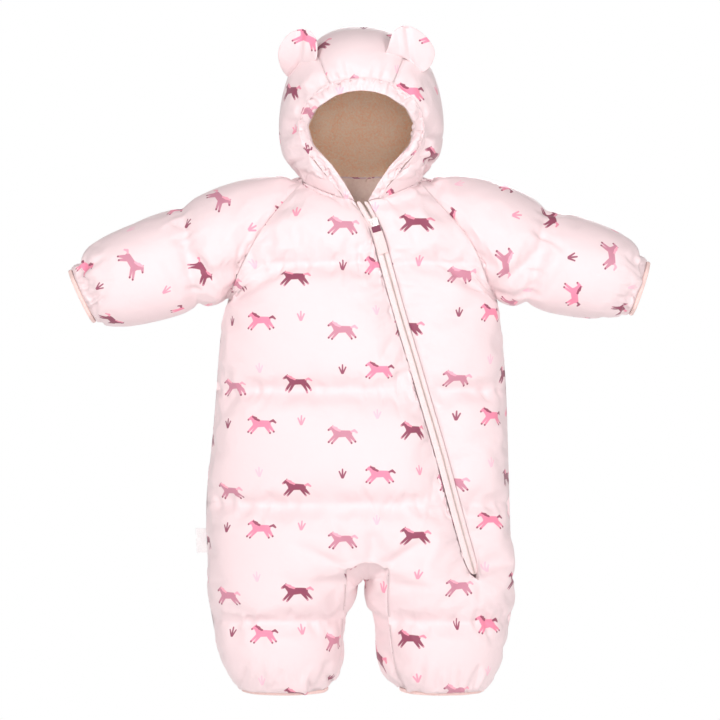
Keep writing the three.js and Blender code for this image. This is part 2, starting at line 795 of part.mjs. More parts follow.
// Places of the neck edge from the zip, or the middle of the back, out to a raglan
function neckEdge(side, from, to, steps) {
  return span(from, to, steps).map((arch) => neckPoint(side, arch));
}

const FRONT_NECK_ARCHES = [...CASING_STEPS, ...HOOD_STEPS.slice(1, 7)];

// Front: one piece from the neck to both hems, slit for the zip
function frontSheet() {
  const sheet = new Sheet('front');
  const neckRight = FRONT_NECK_ARCHES.map((arch) => neckPoint(-1, arch)).reverse();
  const neckLeft = FRONT_NECK_ARCHES.map((arch) => neckPoint(1, arch));
  let right = sheet.row(neckRight);
  let left = sheet.row(neckLeft);
  const slit = { right: [neckRight[neckRight.length - 1]], left: [neckLeft[0]] };
  const columns = (height) => ({
    rightCrotch: along(CROTCH_COLUMNS, 'height', 'frontRight', height),
    leftCrotch: along(CROTCH_COLUMNS, 'height', 'frontLeft', height),
    slitRight: zipX(height) - SLIT_RIGHT,
    slitLeft: zipX(height) + SLIT_LEFT,
  });
  const addRow = (rightPoints, leftPoints, height) => {
    const rightRow = sheet.row(rightPoints, bodyLofts(rightPoints, height));
    const leftRow = sheet.row(leftPoints, bodyLofts(leftPoints, height));
    sheet.join(right, rightRow, true);
    sheet.join(left, leftRow);
    right = rightRow;
    left = leftRow;
    slit.right.push(rightPoints[rightPoints.length - 1]);
    slit.left.push(leftPoints[0]);
  };
  for (const row of RAGLAN_ROWS.slice(1)) {
    const at = columns(row.zipHeight);
    const rightEdge = raglanPoint(-1, -1, row.along);
    const leftEdge = raglanPoint(1, -1, row.along);
    const depth = bodyDepth(row.zipHeight, -1);
    const reachRight = (BODY_MIDDLE - rightEdge.x) / arc(rightEdge.y / depth);
    const rightXs = [
      ...spread(rightEdge.x, at.rightCrotch, OUTER_COLUMNS, BODY_MIDDLE, reachRight).slice(0, -1),
      ...span(at.rightCrotch, at.leftCrotch, CROTCH_COLUMN_COUNT).slice(0, -1),
      ...span(at.leftCrotch, at.slitRight, ZIP_COLUMNS),
    ];
    rightXs[0] = rightEdge.x;
    const reachLeft = (leftEdge.x - BODY_MIDDLE) / arc(leftEdge.y / depth);
    const leftXs = spread(at.slitLeft, leftEdge.x, ZIP_COLUMNS, BODY_MIDDLE, reachLeft);
    leftXs[ZIP_COLUMNS] = leftEdge.x;
    addRow(raglanRow(row, -1, -1, rightXs), raglanRow(row, -1, 1, leftXs), row.zipHeight);
  }
  for (const height of [...LEVEL_ROWS, ARCH_ROW]) {
    const at = columns(height);
    const sides = [-1, 1].map((side) => BODY_MIDDLE + side * halfWidths(height)[side]);
    const leg = height < LEGS_BEGIN;
    const rightPoints = [
      ...levelRun(height, -1, sides[0], at.rightCrotch, OUTER_COLUMNS, leg ? -1 : 0).slice(0, -1),
      ...levelPoints(height, -1, span(at.rightCrotch, at.leftCrotch, CROTCH_COLUMN_COUNT)).slice(0, -1),
      ...levelRun(height, -1, at.leftCrotch, at.slitRight, ZIP_COLUMNS, leg ? 1 : 0),
    ];
    const crotch = OUTER_COLUMNS + CROTCH_COLUMN_COUNT / 2;
    if (height === ARCH_ROW) {
      rightPoints[crotch].z += ARCH_RISE;
    }
    const leftPoints = levelRun(height, -1, at.slitLeft, sides[1], ZIP_COLUMNS, leg ? 1 : 0);
    addRow(rightPoints, leftPoints, height);
  }
  // Below the arch the panel parts into two legs, and below the zip its two sides are one
  const arch = right.slice(OUTER_COLUMNS, OUTER_COLUMNS + CROTCH_COLUMN_COUNT + 1);
  const seams = {
    arch: arch.map((i) => sheet.points[i]),
    right: [sheet.points[arch[0]]],
    left: [sheet.points[arch[2]]],
  };
  let rightLeg = right.slice(0, OUTER_COLUMNS + 1);
  let leftLeg = right.slice(OUTER_COLUMNS + CROTCH_COLUMN_COUNT);
  let hems = {};
  for (const height of LEG_ROWS) {
    const sides = [-1, 1].map((side) => BODY_MIDDLE + side * halfWidths(height)[side]);
    const rightSeam = along(LEG_SECTIONS, 'height', 'rightSeam', height);
    const leftSeam = along(LEG_SECTIONS, 'height', 'leftSeam', height);
    const rightRun = levelRun(height, -1, sides[0], rightSeam, OUTER_COLUMNS, -1);
    const rightPoints = gatheredLeg(rightRun, -1, height, 0);
    const leftPoints = gatheredLeg([
      ...levelRun(height, -1, leftSeam, zipX(height), ZIP_COLUMNS, 1).slice(0, -1),
      ...levelRun(height, -1, zipX(height), sides[1], ZIP_COLUMNS, 1),
    ], 1, height, GUSSET_COLUMNS);
    const rightRow = sheet.row(rightPoints, bodyLofts(rightPoints, height));
    const leftRow = sheet.row(leftPoints, bodyLofts(leftPoints, height));
    sheet.join(rightLeg, rightRow, true);
    if (left) {
      const lastSlit = leftRow.slice(0, ZIP_COLUMNS + 1);
      sheet.join(leftLeg, lastSlit);
      sheet.join(left, leftRow.slice(ZIP_COLUMNS));
      slit.right.push(leftPoints[ZIP_COLUMNS]);
      slit.left.push(leftPoints[ZIP_COLUMNS]);
      left = null;
    } else {
      sheet.join(leftLeg, leftRow);
    }
    rightLeg = rightRow;
    leftLeg = leftRow;
    seams.right.push(rightPoints[OUTER_COLUMNS]);
    seams.left.push(leftPoints[0]);
    hems = { right: rightPoints, left: leftPoints };
  }
  sheet.lookAwayFrom(vec(BODY_MIDDLE, 0, -260));
  return { sheet, seams, hems, slit };
}

// Joins two rows with an even number of steps, alike on both sides of their middle
function joinHalves(sheet, upper, lower) {
  const [i, j] = [upper, lower].map((row) => (row.length - 1) / 2);
  sheet.join(upper.slice(0, i + 1), lower.slice(0, j + 1), true);
  sheet.join(upper.slice(i), lower.slice(j));
}

// Back: one piece from the neck to both hems
function backSheet() {
  const sheet = new Sheet('back');
  const halfNeck = (side) => [
    ...HOOD_STEPS.slice(10).map((arch) => neckPoint(side, arch)),
    ...sideArch(side, LAST_ARCH).slice(1),
  ];
  const neck = [...halfNeck(-1), ...centreArch(LAST_ARCH).slice(1, -1), ...halfNeck(1).reverse()];
  let above = sheet.row(neck);
  const middle = 2 * OUTER_COLUMNS + CROTCH_COLUMN_COUNT;
  for (const row of RAGLAN_ROWS.slice(1)) {
    const right = along(CROTCH_COLUMNS, 'height', 'backRight', row.zipHeight);
    const left = along(CROTCH_COLUMNS, 'height', 'backLeft', row.zipHeight);
    const depth = bodyDepth(row.zipHeight, 1);
    const edges = [-1, 1].map((side) => raglanPoint(side, 1, row.along));
    const reaches = edges.map((edge) => Math.abs(edge.x - BODY_MIDDLE) / arc(edge.y / depth));
    const rightXs = [
      ...spread(edges[0].x, right, OUTER_COLUMNS, BODY_MIDDLE, reaches[0]),
      (right + left) / 2,
    ];
    rightXs[0] = edges[0].x;
    const leftXs = spread(left, edges[1].x, OUTER_COLUMNS, BODY_MIDDLE, reaches[1]);
    leftXs[OUTER_COLUMNS] = edges[1].x;
    const points = [...raglanRow(row, 1, -1, rightXs), ...raglanRow(row, 1, 1, leftXs)];
    const next = sheet.row(points, bodyLofts(points, row.zipHeight));
    joinHalves(sheet, above, next);
    above = next;
  }
  for (const height of [...LEVEL_ROWS, ARCH_ROW]) {
    const right = along(CROTCH_COLUMNS, 'height', 'backRight', height);
    const left = along(CROTCH_COLUMNS, 'height', 'backLeft', height);
    const sides = [-1, 1].map((side) => BODY_MIDDLE + side * halfWidths(height)[side]);
    const leg = height < LEGS_BEGIN;
    const points = [
      ...levelRun(height, 1, sides[0], right, OUTER_COLUMNS, leg ? -1 : 0),
      ...levelPoints(height, 1, [(right + left) / 2]),
      ...levelRun(height, 1, left, sides[1], OUTER_COLUMNS, leg ? 1 : 0),
    ];
    const next = sheet.row(points, bodyLofts(points, height));
    joinHalves(sheet, above, next);
    above = next;
  }
  const arch = above.slice(OUTER_COLUMNS, OUTER_COLUMNS + CROTCH_COLUMN_COUNT + 1);
  const seams = {
    arch: arch.map((i) => sheet.points[i]),
    right: [sheet.points[arch[0]]],
    left: [sheet.points[arch[2]]],
  };
  let legs = [above.slice(0, OUTER_COLUMNS + 1), above.slice(middle - OUTER_COLUMNS)];
  let hems = {};
  for (const height of LEG_ROWS) {
    const sides = [-1, 1].map((side) => BODY_MIDDLE + side * halfWidths(height)[side]);
    const rightSeam = along(LEG_SECTIONS, 'height', 'rightBack', height);
    const leftSeam = along(LEG_SECTIONS, 'height', 'leftBack', height);
    const runs = [
      gatheredLeg(levelRun(height, 1, sides[0], rightSeam, OUTER_COLUMNS, -1), -1, height, 0),
      gatheredLeg(levelRun(height, 1, leftSeam, sides[1], OUTER_COLUMNS, 1), 1, height, 0),
    ];
    const next = runs.map((points) => sheet.row(points, bodyLofts(points, height)));
    sheet.join(legs[0], next[0], true);
    sheet.join(legs[1], next[1]);
    legs = next;
    seams.right.push(runs[0][OUTER_COLUMNS]);
    seams.left.push(runs[1][0]);
    hems = { right: runs[0], left: runs[1] };
  }
  sheet.lookAwayFrom(vec(BODY_MIDDLE, 0, -260));
  return { sheet, seams, hems };
}

// Gusset: one strip from the inner hem of a leg over the crotch to that of the other
function gussetSheet(front, back) {
  const sheet = new Sheet('leg_gusset');
  const heights = [ARCH_ROW, ...LEG_ROWS];
  const legLine = (side, i) => {
    const key = side < 0 ? 'right' : 'left';
    const from = front[key][i];
    const to = back[key][i];
    const drop = 20 * (1 - smoothStep((ARCH_ROW - heights[i]) / 60));
    const height = heights[i] - drop;
    const inner = along(LEG_SECTIONS, 'height', side < 0 ? 'rightInner' : 'leftInner', height);
    return { from, to, deepest: vec(inner, (from.y + to.y) / 2, height) };
  };
  const lines = [];
  for (let i = heights.length - 1; i >= 0; i -= 1) {
    lines.push({ ...legLine(-1, i), side: -1, height: heights[i] });
  }
  const middle = { from: front.arch[1], to: back.arch[1] };
  lines.push({ ...middle, deepest: vec(1, 0, CROTCH_LOW), side: 0, height: ARCH_ROW });
  for (let i = 0; i < heights.length; i += 1) {
    lines.push({ ...legLine(1, i), side: 1, height: heights[i] });
  }
  const rows = lines.map((line) => {
    const half = line.from.clone().add(line.to).multiplyScalar(0.5);
    const swell = line.deepest.clone().sub(half);
    return span(0, 1, GUSSET_COLUMNS).map((t, i) => {
      const point = line.from.clone().lerp(line.to, t).addScaledVector(swell, Math.sin(Math.PI * t));
      const seam = i === 0 || i === GUSSET_COLUMNS;
      if (seam || !line.side) {
        return point;
      }
      return gathered(point, legCentre(line.side, line.height), DOWN, i, legGather(line.height));
    });
  });
  let below = null;
  rows.forEach((points, i) => {
    const row = sheet.row(points);
    if (below) {
      sheet.join(row, below, i <= heights.length);
    }
    below = row;
  });
  return { sheet, hems: { right: rows[0], left: rows[rows.length - 1] } };
}

// Sleeve: a tube from the raglan seams and the neck edge to the cuff
function sleeveSheet(side, table) {
  const sheet = new Sheet(side < 0 ? 'sleeve_right' : 'sleeve_left');
  const raglan = (face) => RAGLAN_ROWS.map((row) => (row.along === 0
    ? neckPoint(side, face < 0 ? FRONT_RAGLAN_ARCH : BACK_RAGLAN_ARCH)
    : raglanPoint(side, face, row.along)));
  const root = [
    ...raglan(-1).reverse(),
    ...neckEdge(side, FRONT_RAGLAN_ARCH, BACK_RAGLAN_ARCH, SLEEVE_NECK_SEGMENTS).slice(1, -1),
    ...raglan(1).slice(0, -1),
  ];
  const rows = RAGLAN_ROWS.length - 1;
  const quarter = 180 - SLEEVE_NECK_ANGLE;
  const angles = root.map((unused, k) => {
    if (k <= rows) {
      return (quarter * k) / rows;
    }
    if (k <= rows + SLEEVE_NECK_SEGMENTS) {
      return quarter + (2 * SLEEVE_NECK_ANGLE * (k - rows)) / SLEEVE_NECK_SEGMENTS;
    }
    return 360 - (quarter * (2 * rows + SLEEVE_NECK_SEGMENTS - k)) / rows;
  });
  const ringPoint = (section, degrees) => {
    const turn = THREE.MathUtils.degToRad(degrees);
    const top = vec(section.topX, 0, section.topZ);
    const low = vec(section.lowX, 0, section.lowZ);
    const up = top.clone().sub(low).multiplyScalar(0.5);
    const centre = top.add(low).multiplyScalar(0.5);
    return centre.addScaledVector(up, -Math.cos(turn)).add(vec(0, -section.depth * Math.sin(turn), 0));
  };
  const last = table[table.length - 1];
  const axis = vec(last.lowZ - last.topZ, 0, last.topX - last.lowX).multiplyScalar(-side).normalize();
  const cuffCentre = ringPoint(last, 0).add(ringPoint(last, 180)).multiplyScalar(0.5);
  let rowsAbove = null;
  let cuff = [];
  for (const reach of SLEEVE_RINGS) {
    const points = root.map((start, k) => {
      if (reach === 0) {
        return start;
      }
      const knots = [{ reach: 0, x: start.x, y: start.y, z: start.z }];
      for (const section of table) {
        const p = ringPoint(section, angles[k]);
        knots.push({ reach: section.reach, x: p.x, y: p.y, z: p.z });
      }
      const value = (name) => along(knots, 'reach', name, reach);
      const point = vec(value('x'), value('y'), value('z'));
      const depth = GATHER_DEPTH * smoothStep((reach - 0.85) / 0.12);
      return depth ? gathered(point, cuffCentre, axis, k, depth) : point;
    });
    const loft = SLEEVE_LOFT * loftBetween(SLEEVE_QUILTS, reach) * smoothStep((1 - reach) / 0.1);
    const rise = (point, k) => Math.sqrt(smoothStep(point.distanceTo(root[k]) / LOFT_RISE));
    const row = sheet.row(points, points.map((point, k) => loft * rise(point, k)));
    const ring = [...row, row[0]];
    if (rowsAbove) {
      joinHalves(sheet, rowsAbove, ring);
    }
    rowsAbove = ring;
    cuff = points;
  }
  sheet.lookAwayFrom(vec(side * 220, 0, -80));
  return { sheet, cuff, cuffCentre, axis };
}

// Elastic binding round an open edge, outside the wall's rim
function binding(loop, centre, axis) {
  const sections = loop.map((point) => {
    const out = point.clone().sub(centre);
    out.addScaledVector(axis, -out.dot(axis)).normalize();
    const corner = (sideways, forward) => (
      point.clone().addScaledVector(out, sideways).addScaledVector(axis, forward)
    );
    const start = SEAM_GAP + 0.2;
    return [
      corner(-WALL - BINDING_EXTRA, start + 0.4),
      corner(BINDING_EXTRA * 0.5, start),
      corner(BINDING_EXTRA, start + 1),
      corner(BINDING_EXTRA * 0.5, start + BINDING_LENGTH - 1),
      corner(-WALL / 2, start + BINDING_LENGTH),
      corner(-WALL - BINDING_EXTRA, start + BINDING_LENGTH - 1),
    ];
  });
  return sweep(sections, true);
}

// Zip tape: from the slit's edge to its own half of the coil, which stands up a little
function tapeSheet(side, slit) {
  const sheet = new Sheet(side < 0 ? 'zip_tape_right' : 'zip_tape_left');
  const end = slit[slit.length - 1];
  const edges = [...slit.slice(0, -1), slit[slit.length - 2].clone().lerp(end, TAPE_END)];
  let above = null;
  for (const edge of edges) {
    const open = COIL_OPEN * smoothStep((edge.z - SLIDER_HEIGHT) / 20);
    const narrow = edge === edges[edges.length - 1] ? zipX(end.z) - zipX(edge.z) : 0;
    const coil = edge.clone();
    coil.x = zipX(edge.z) + side * open + narrow * TAPE_END;
    coil.y += frontDepthChange(edge, coil.x);
    const points = [edge, edge.clone().lerp(coil, 0.7), coil];
    const row = sheet.row(points, [0, 0, COIL_RISE]);
    if (above) {
      sheet.join(above, row);
    }
    above = row;
  }
  return sheet.lookAwayFrom(vec(BODY_MIDDLE, 0, -260));
}

// Fleece lining of the hood, all round its inside from the casing to the neck
function liningSheet() {
  const sheet = new Sheet('hood_lining');
  let above = null;
  for (const step of HOOD_STEPS) {
    const row = sheet.row(wholeArch(step));
    const leftStart = HOOD_SIDE_COLUMNS + HOOD_CENTRE_COLUMNS;
    if (above) {
      sheet.join(above.slice(0, leftStart + 1), row.slice(0, leftStart + 1));
      sheet.join(above.slice(leftStart), row.slice(leftStart), true);
    }
    above = row;
  }
  return sheet.lookAwayFrom(HOOD_CENTRE);
}

// Facing inside the back of the neck, on the back panel's own points
function facingSheet(panel) {
  const sheet = new Sheet('neck_facing');
  const last = panel.rowStarts[FACING_ROWS];
  const kept = new Map();
  for (const face of panel.faces) {
    if (face.every((i) => i < last && Math.abs(panel.points[i].x) < FACING_HALF_WIDTH)) {
      sheet.faces.push(face.map((i) => {
        if (!kept.has(i)) {
          kept.set(i, sheet.add(panel.points[i]));
        }
        return kept.get(i);
      }));
    }
  }
  return sheet;
}

function hoodNormal(side, arch, place) {
  const step = 0.05;
  const acrossArch = hoodPoint(side, arch + step, place).sub(hoodPoint(side, arch - step, place));
  const alongArch = hoodPoint(side, arch, place + step).sub(hoodPoint(side, arch, place - step));
  const normal = acrossArch.cross(alongArch).normalize();
  const away = hoodPoint(side, arch, place).sub(HOOD_CENTRE);
  return normal.dot(away) < 0 ? normal.negate() : normal;
}

// Ear: two layers of cloth with a little wadding, sewn round the edge and on to the hood
function ear(side, table) {
  const sections = span(0, 1, 10).map((part) => {
    const value = (name) => along(table, 'part', name, part);
    const [arch, place] = [value('arch'), value('place')];
    const normal = hoodNormal(side, arch, place);
    const height = (value('front') + value('back')) / 2;
    const tilt = (value('front') - value('back')) / 2;
    const foot = hoodPoint(side, arch, place).addScaledVector(normal, height);
    const rim = vec(value('x'), value('y'), value('z'));
    const rise = rim.clone().sub(foot);
    const up = rise.clone().normalize();
    const foreAft = vec(0, -1, 0).addScaledVector(up, up.y).normalize();
    const swell = Math.sin(Math.PI * (0.12 + 0.76 * part));
    const at = (part, thick) => (
      foot.clone().addScaledVector(rise, part).addScaledVector(foreAft, thick * swell)
    );
    return [
      at(0, EAR_BASE / 2).addScaledVector(normal, tilt),
      at(0.35, EAR_THICKNESS / 2),
      at(0.75, EAR_THICKNESS * 0.36),
      at(1, 0.9),
      at(1, -0.9),
      at(0.75, -EAR_THICKNESS * 0.36),
      at(0.35, -EAR_THICKNESS / 2),
      at(0, -EAR_BASE / 2).addScaledVector(normal, -tilt),
    ];
  });
  return sweep(sections);
}

// The slider's own directions on the zip
function sliderFrame() {
  const onZip = (height) => {
    const x = zipX(height);
    const half = halfWidths(height)[x < BODY_MIDDLE ? -1 : 1];
    return vec(x, -bodyDepth(height, -1) * arc((x - BODY_MIDDLE) / half), height);
  };
  const origin = onZip(SLIDER_HEIGHT);
  const down = onZip(SLIDER_HEIGHT - 36).sub(origin).normalize();
  const out = vec(0, -1, 0).addScaledVector(down, down.y).normalize();
  const across = out.clone().cross(down).normalize();
  return (a, d, m) => (
    origin.clone().addScaledVector(across, a).addScaledVector(down, d).addScaledVector(out, m)
  );
}

function sliderBody(at) {
  const flatTop = SLIDER_HOOK.map((_, i) => ({ down: HOOK_START + HOOK_STEP * i, top: HOOK_FOOT }));
  const profile = (half, lug) => {
    const outline = [
      ...SLIDER_PLATE.slice(0, 2),
      ...(lug ? SLIDER_HOOK : flatTop),
      ...SLIDER_PLATE.slice(2),
      { down: SLIDER_END, top: SLIDER_UNDER },
      { down: -SLIDER_END, top: SLIDER_UNDER },
    ];
    return outline.map(({ down, top }) => at(half * (1 - SLIDER_TAPER * (down + SLIDER_END)), down, top));
  };
  return sweep([
    profile(-SLIDER_HALF, false),
    profile(-HOOK_HALF - HOOK_FLANK, false),
    profile(-HOOK_HALF, true),
    profile(HOOK_HALF, true),
    profile(HOOK_HALF + HOOK_FLANK, false),
    profile(SLIDER_HALF, false),
  ]);
}

// Wire of the pull: a bar through the slider's bridge and a leg on each side of it
function pullBail(at) {
  const sections = BAIL_ROUTE.map(({ across, down }, i) => {
    const before = BAIL_ROUTE[Math.max(i - 1, 0)];
    const after = BAIL_ROUTE[Math.min(i + 1, BAIL_ROUTE.length - 1)];
    const turn = Math.atan2(after.down - before.down, after.across - before.across);
    return span(0, 5, 5).map((k) => {
      const angle = (Math.PI * 2 * k) / 6;
      const sideways = WIRE * Math.cos(angle);
      const rise = PIVOT_OUT + WIRE * Math.sin(angle);
      return at(across - Math.sin(turn) * sideways, down + Math.cos(turn) * sideways, rise);
    });
  });
  return sweep(sections);
}

// Slab with rounded long edges along the pull, through rows of half width, low and high side
function pullSlab(at, rows) {
  return sweep(rows.map(({ down, half, low, high }) => {
    const soft = Math.min(0.5, (high - low) / 3);
    return [
      at(-half, down, low + soft),
      at(-half, down, high - soft),
      at(-half + soft, down, high),
      at(half - soft, down, high),
      at(half, down, high - soft),
      at(half, down, low + soft),
      at(half - soft, down, low),
      at(-half + soft, down, low),
    ];
  }));
}

// Loop of tape at the back of the neck, inside
function hangingLoop() {
  const middle = vec(11, 52.1, 12);
  const sections = span(0, 8, 8).map((i) => {
    const turn = (Math.PI * i) / 8;
    const [across, up] = [-Math.cos(turn), LOOP_TALL * Math.sin(turn)];
    const at = (radius, deep) => middle.clone().add(vec(radius * across, deep, radius * up));
    return [at(4.2, -1.6), at(5.4, -1.6), at(5.4, 0), at(4.2, 0)];
  });
  return sweep(sections);
}

function sideLabel() {
  const inner = (height) => BODY_MIDDLE - halfWidths(height)[-1] - 0.5;
  const half = LABEL.thickness / 2;
  return sweep([LABEL.top, (LABEL.top + LABEL.bottom) / 2, LABEL.bottom].map((height) => [
    vec(inner(height), -half, height),
    vec(inner(height), half, height),
    vec(inner(height) - LABEL.width, half + 1, height),
    vec(inner(height) - LABEL.width, -half + 1, height),
  ]));
}

// Materials
const cloth = (colour, roughness) => new THREE.MeshStandardMaterial({ color: colour, roughness, metalness: 0 });
const shell = cloth(0xfbecec, 0.62);
const fleece = cloth(0xd6b296, 0.95);
const peach = cloth(0xf3d6cf, 0.7);
const labelCloth = cloth(0xf7f5f4, 0.8);
const maroon = cloth(0x8a4058, 0.5);
const enamel = new THREE.MeshStandardMaterial({ color: 0xf2f0ee, roughness: 0.35, metalness: 0.3 });

const suit = new THREE.Group();
suit.name = 'baby_snowsuit';

function place(name, geometry, material) {
  const mesh = new THREE.Mesh(geometry, material);
  mesh.name = name;
  suit.add(mesh);
}

const front = frontSheet();
const back = backSheet();
const gusset = gussetSheet(front.seams, back.seams);
const sleeves = [sleeveSheet(-1, RIGHT_SLEEVE), sleeveSheet(1, LEFT_SLEEVE)];
const hoodSides = [
  hoodSheet('hood_side_right', (arch) => sideArch(-1, arch)),
  hoodSheet('hood_side_left', (arch) => sideArch(1, arch)),
];
const hoodCentre = hoodSheet('hood_centre', centreArch);
const casing = casingSheet();
const tapes = [tapeSheet(-1, front.slit.right), tapeSheet(1, front.slit.left)];
const bodySheets = [front.sheet, back.sheet, gusset.sheet, ...sleeves.map((sleeve) => sleeve.sheet)];
const sheets = [...bodySheets, ...hoodSides, hoodCentre, casing];
shareNormals([...sheets, ...tapes]);
for (const sheet of sheets) {
  place(sheet.name, wall(sheet), shell);
}

for (const [i, name] of ['right', 'left'].entries()) {
  place(`cuff_binding_${name}`, binding(sleeves[i].cuff, sleeves[i].cuffCentre, sleeves[i].axis), peach);
  const side = i ? 1 : -1;
  const hemHeight = LEG_ROWS[LEG_ROWS.length - 1];
  const loop = i
    ? [...gusset.hems.left, ...back.hems.left.slice(1), ...front.hems.left.slice(1, -1).reverse()]
    : [...front.hems.right, ...gusset.hems.right.slice(1), ...back.hems.right.slice(1, -1).reverse()];
  place(`hem_binding_${name}`, binding(loop, legCentre(side, hemHeight), DOWN), peach);
}
for (const tape of tapes) {
  place(tape.name, wall(tape, { inside: TAPE_RECESS + TAPE_THICKNESS, outside: -TAPE_RECESS }), peach);
}

const lining = liningSheet();
const under = WALL + LINING_SPACE;
place(lining.name, wall(lining, { outside: -under, inside: under + FLEECE }), fleece);
const facing = facingSheet(back.sheet);
place(facing.name, wall(facing, { outside: -under, inside: under + FACING }), peach);
place('hanging_loop', hangingLoop(), peach);
place('ear_right', ear(-1, RIGHT_EAR), shell);
place('ear_left', ear(1, LEFT_EAR), shell);
const atSlider = sliderFrame();
place('zip_slider', sliderBody(atSlider), enamel);
place('pull_bail', pullBail(atSlider), enamel);
place('pull_block', pullSlab(atSlider, PULL_BLOCK), maroon);
place('pull_tab', pullSlab(atSlider, PULL_TAB), peach);
place('side_label', sideLabel(), labelCloth);

export default suit;
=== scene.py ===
import math
import random

import bmesh
import bpy
import numpy as np
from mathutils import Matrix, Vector, noise
from mathutils.bvhtree import BVHTree


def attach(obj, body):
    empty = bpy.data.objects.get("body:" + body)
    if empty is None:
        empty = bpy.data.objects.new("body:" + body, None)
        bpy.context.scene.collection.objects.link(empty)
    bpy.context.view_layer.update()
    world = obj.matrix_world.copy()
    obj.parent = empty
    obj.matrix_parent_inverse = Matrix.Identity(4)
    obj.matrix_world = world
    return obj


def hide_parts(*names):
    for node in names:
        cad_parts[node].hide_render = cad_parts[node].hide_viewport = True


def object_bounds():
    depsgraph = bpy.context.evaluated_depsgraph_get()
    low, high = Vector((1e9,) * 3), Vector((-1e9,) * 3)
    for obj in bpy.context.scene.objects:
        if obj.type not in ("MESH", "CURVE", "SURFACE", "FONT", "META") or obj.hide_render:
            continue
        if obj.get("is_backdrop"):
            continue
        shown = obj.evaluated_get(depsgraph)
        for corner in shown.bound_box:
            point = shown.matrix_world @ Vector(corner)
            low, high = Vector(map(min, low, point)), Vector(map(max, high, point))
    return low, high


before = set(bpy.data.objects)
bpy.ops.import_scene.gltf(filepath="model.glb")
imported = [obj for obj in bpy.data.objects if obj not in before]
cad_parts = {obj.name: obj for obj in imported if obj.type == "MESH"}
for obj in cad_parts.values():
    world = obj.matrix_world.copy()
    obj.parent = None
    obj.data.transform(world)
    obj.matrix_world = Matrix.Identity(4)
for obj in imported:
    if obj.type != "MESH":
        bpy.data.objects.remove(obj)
box_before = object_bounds()

# Studio
# A seamless pale sweep round the suit, lit by two soft lamps above and beside the camera, a weaker one
# in front and one behind the suit, with the camera straight in front, as in the photograph.

MM = 0.001
VIEW_WIDTH = 0.828
VIEW_HEIGHT = -0.1955
CAMERA_DISTANCE = 3.2
SENSOR = 0.036
FLOOR_HEIGHT = -0.66
SWEEP_REACH = 7.0
SWEEP_RADIUS = 1.5
SWEEP_HIGH = 5.0
PAPER_GLOW = 0.2
ROOM_LIGHT = 0.12
LAMPS = [
    {"name": "left_lamp", "place": (-1.4, -2.6, 1.4), "aim": (0, 0, -0.15), "size": 0.6, "power": 38},
    {"name": "right_lamp", "place": (1.8, -2.5, 1.0), "aim": (0, 0, -0.15), "size": 0.7, "power": 26},
    {"name": "front_lamp", "place": (0.1, -3.1, -0.1), "aim": (0, 0, 0), "size": 0.9, "power": 21},
    {"name": "back_lamp", "place": (0.3, 3.0, 1.2), "aim": (0, 0, -0.2), "size": 1.0, "power": 55},
]


def colour(red, green, blue):
    """A display colour of 0 to 255 as the shader's own linear colour."""
    linear = [((c / 255 + 0.055) / 1.055) ** 2.4 if c > 10 else c / 255 / 12.92 for c in (red, green, blue)]
    return (*linear, 1.0)


def select_only(obj):
    bpy.ops.object.select_all(action="DESELECT")
    obj.select_set(True)
    bpy.context.view_layer.objects.active = obj


def object_from(name, vertices, faces):
    mesh = bpy.data.meshes.new(name)
    mesh.from_pydata(vertices, [], faces)
    mesh.update()
    obj = bpy.data.objects.new(name, mesh)
    bpy.context.collection.objects.link(obj)
    return obj


def round_sweep():
    """A wide pale floor that curves up into a wall all round, so that each side has the same ground."""
    rows = [(0.02, 0.0), (SWEEP_REACH - SWEEP_RADIUS, 0.0)]
    for step in range(1, 13):
        turn = math.pi / 2 * step / 12
        rows.append((SWEEP_REACH - SWEEP_RADIUS * (1 - math.sin(turn)), SWEEP_RADIUS * (1 - math.cos(turn))))
    rows.append((SWEEP_REACH, SWEEP_HIGH))
    count = 64
    vertices = []
    for reach, height in rows:
        for k in range(count):
            turn = 2 * math.pi * k / count
            vertices.append((reach * math.cos(turn), reach * math.sin(turn), FLOOR_HEIGHT + height))
    faces = [tuple(range(count))]
    for i in range(len(rows) - 1):
        for k in range(count):
            a = i * count + k
            b = i * count + (k + 1) % count
            faces.append((a, a + count, b + count, b))
    floor = object_from("studio_sweep", vertices, faces)
    for face in floor.data.polygons:
        face.use_smooth = True
    material = bpy.data.materials.new("studio_paper")
    material.use_nodes = True
    tree = material.node_tree
    shader = tree.nodes["Principled BSDF"]
    shader.inputs["Base Color"].default_value = (0.8, 0.8, 0.8, 1)
    shader.inputs["Roughness"].default_value = 0.9
    shader.inputs["Emission Color"].default_value = (1, 1, 1, 1)
    shader.inputs["Emission Strength"].default_value = PAPER_GLOW
    lit = tree.nodes.new("ShaderNodeEmission")
    lit.inputs["Strength"].default_value = 1.0
    seen = tree.nodes.new("ShaderNodeLightPath")
    either = tree.nodes.new("ShaderNodeMixShader")
    tree.links.new(seen.outputs["Is Camera Ray"], either.inputs[0])
    tree.links.new(shader.outputs[0], either.inputs[1])
    tree.links.new(lit.outputs[0], either.inputs[2])
    tree.links.new(either.outputs[0], tree.nodes["Material Output"].inputs["Surface"])
    floor.data.materials.append(material)
    floor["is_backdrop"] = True


def soft_lamp(row):
    data = bpy.data.lights.new(row["name"], "AREA")
    data.shape = "SQUARE"
    data.size = row["size"]
    data.energy = row["power"]
    lamp = bpy.data.objects.new(row["name"], data)
    lamp.location = row["place"]
    direction = Vector(row["aim"]) - Vector(row["place"])
    lamp.rotation_euler = direction.to_track_quat("-Z", "Y").to_euler()
    bpy.context.collection.objects.link(lamp)


